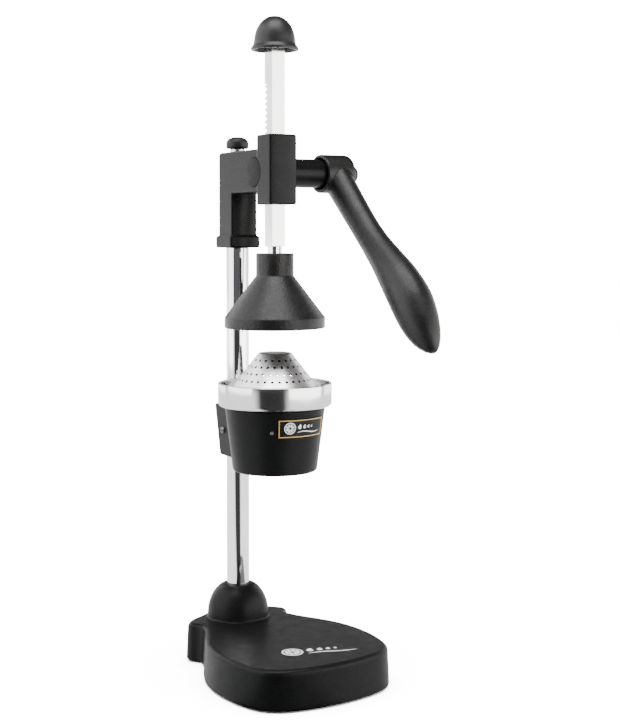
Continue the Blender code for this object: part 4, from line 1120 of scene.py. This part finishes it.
def floor_bounce(nodes):
    """What the floor sends up to the press: plenty at the sides, little in a wedge in front of it.

    The wedge is fixed in the world, on the side that the main camera looks from.
    """
    bearing = nodes.add("ShaderNodeVectorMath")
    bearing.operation = "NORMALIZE"
    nodes.link(nodes.place, bearing.inputs[0])
    facing = nodes.add("ShaderNodeVectorMath")
    facing.operation = "DOT_PRODUCT"
    front = HEADING + math.pi + DARK_BEARING
    facing.inputs[1].default_value = (math.sin(front), math.cos(front), 0.0)
    nodes.link(bearing.outputs["Vector"], facing.inputs[0])
    start, end = math.cos(DARK_HALF + DARK_FADE), math.cos(DARK_HALF - DARK_FADE)
    dark = nodes.spread(facing.outputs["Value"], 0.0, 1.0, start, end)
    return nodes.mix(dark, (FLOOR_SIDES,) * 3, (FLOOR_FRONT,) * 3)


def make_floor():
    """A pale floor, lit by a lamp of its own; the press sees it darker than the camera does."""
    bm = bmesh.new()
    bmesh.ops.create_circle(bm, cap_ends=True, segments=96, radius=FLOOR_RADIUS)
    nodes = Nodes("floor_paper", (FLOOR_ALBEDO,) * 3, 0.9)
    nodes.set("Specular IOR Level", 0.0)
    path = nodes.add("ShaderNodeLightPath")
    nodes.colour(nodes.mix(path.outputs["Is Camera Ray"], floor_bounce(nodes), (FLOOR_ALBEDO,) * 3))
    floor = make_piece("floor", bm)
    floor.data.materials.append(nodes.material)
    only_floor = bpy.data.collections.new("floor_only")
    only_floor.objects.link(floor)
    data = bpy.data.lights.new("floor_glow", "SUN")
    data.energy = BACKDROP * math.pi / FLOOR_ALBEDO
    data.angle = GLOW_SPREAD
    lamp = show(bpy.data.objects.new("floor_glow", data))
    lamp.location = (0.0, 0.0, 3.0)
    lamp.light_linking.receiver_collection = only_floor


def make_camera():
    data = bpy.data.cameras.new("camera")
    data.sensor_width = SENSOR
    data.lens = SENSOR * FOCAL
    data.shift_y = -SHIFT
    data.clip_end = 40.0
    camera = show(bpy.data.objects.new("camera", data))
    ahead = Vector((math.sin(HEADING), math.cos(HEADING), 0.0))
    right = Vector((math.cos(HEADING), -math.sin(HEADING), 0.0))
    place = RACK - ahead * CAMERA_DISTANCE + right * CAMERA_SIDE
    camera.location = Vector((place.x, place.y, CAMERA_HEIGHT)) * MM
    camera.rotation_euler = (math.pi / 2 - PITCH_DOWN, 0.0, -HEADING)
    bpy.context.scene.camera = camera


def add_light(name, bearing, distance, height, width, tall, brightness, tint=(1.0, 1.0, 1.0)):
    """A soft box, fixed in the world; bearing is in degrees to the right of the main camera's side."""
    data = bpy.data.lights.new(name, "AREA")
    data.shape = "RECTANGLE"
    data.size = width
    data.size_y = tall
    data.energy = brightness * math.pi * width * tall
    data.color = tint
    lamp = show(bpy.data.objects.new(name, data))
    turn = HEADING + math.pi - math.radians(bearing)
    aim = RACK * MM + Vector((0.0, 0.0, AIM_HEIGHT))
    lamp.location = aim + Vector((math.sin(turn), math.cos(turn), 0.0)) * distance
    lamp.location.z = height
    lamp.rotation_euler = (aim - lamp.location).to_track_quat("-Z", "Y").to_euler()
    lamp.visible_camera = False


def make_world():
    """A dim room for the light and a white backdrop for the camera."""
    world = bpy.data.worlds.new("studio")
    bpy.context.scene.world = world
    world.use_nodes = True
    tree = world.node_tree
    tree.nodes.clear()
    output = tree.nodes.new("ShaderNodeOutputWorld")
    mix = tree.nodes.new("ShaderNodeMixShader")
    path = tree.nodes.new("ShaderNodeLightPath")
    room = tree.nodes.new("ShaderNodeBackground")
    seen = tree.nodes.new("ShaderNodeBackground")
    for node, colour, strength in ((room, ROOM_TINT, ROOM_STRENGTH), (seen, (1.0, 1.0, 1.0, 1.0), BACKDROP)):
        node.inputs["Color"].default_value = colour
        node.inputs["Strength"].default_value = strength
    tree.links.new(path.outputs["Is Camera Ray"], mix.inputs["Fac"])
    tree.links.new(room.outputs["Background"], mix.inputs[1])
    tree.links.new(seen.outputs["Background"], mix.inputs[2])
    tree.links.new(mix.outputs["Shader"], output.inputs["Surface"])


def make_studio():
    make_floor()
    make_camera()
    make_world()
    add_light("left_box", -75.0, 1.5, 1.0, 2.2, 2.0, 4.3, (0.985, 0.985, 1.0))
    add_light("right_box", 68.0, 1.6, 0.5, 2.6, 1.0, 5.8, (1.0, 0.965, 0.94))
    add_light("top_box", 4.0, 0.4, 1.6, 1.2, 0.8, 12.0)
    add_light("back_strip", 180.0, 1.9, 0.32, 1.4, 0.2, 2.5)
    add_light("back_left", -135.0, 1.9, 0.8, 1.5, 1.6, 2.7)
    add_light("back_right", 138.0, 1.9, 0.6, 1.5, 1.2, 2.2)


make_base()
make_feet()
make_column()
make_head()
make_head_fittings()
make_knob()
make_rack()
make_rack_cap()
make_presser()
make_lever()
make_cap_nut()
make_bowl()
make_ring()
make_strainer()
make_screws()
make_badge()
dress_inner_nodes()
make_studio()
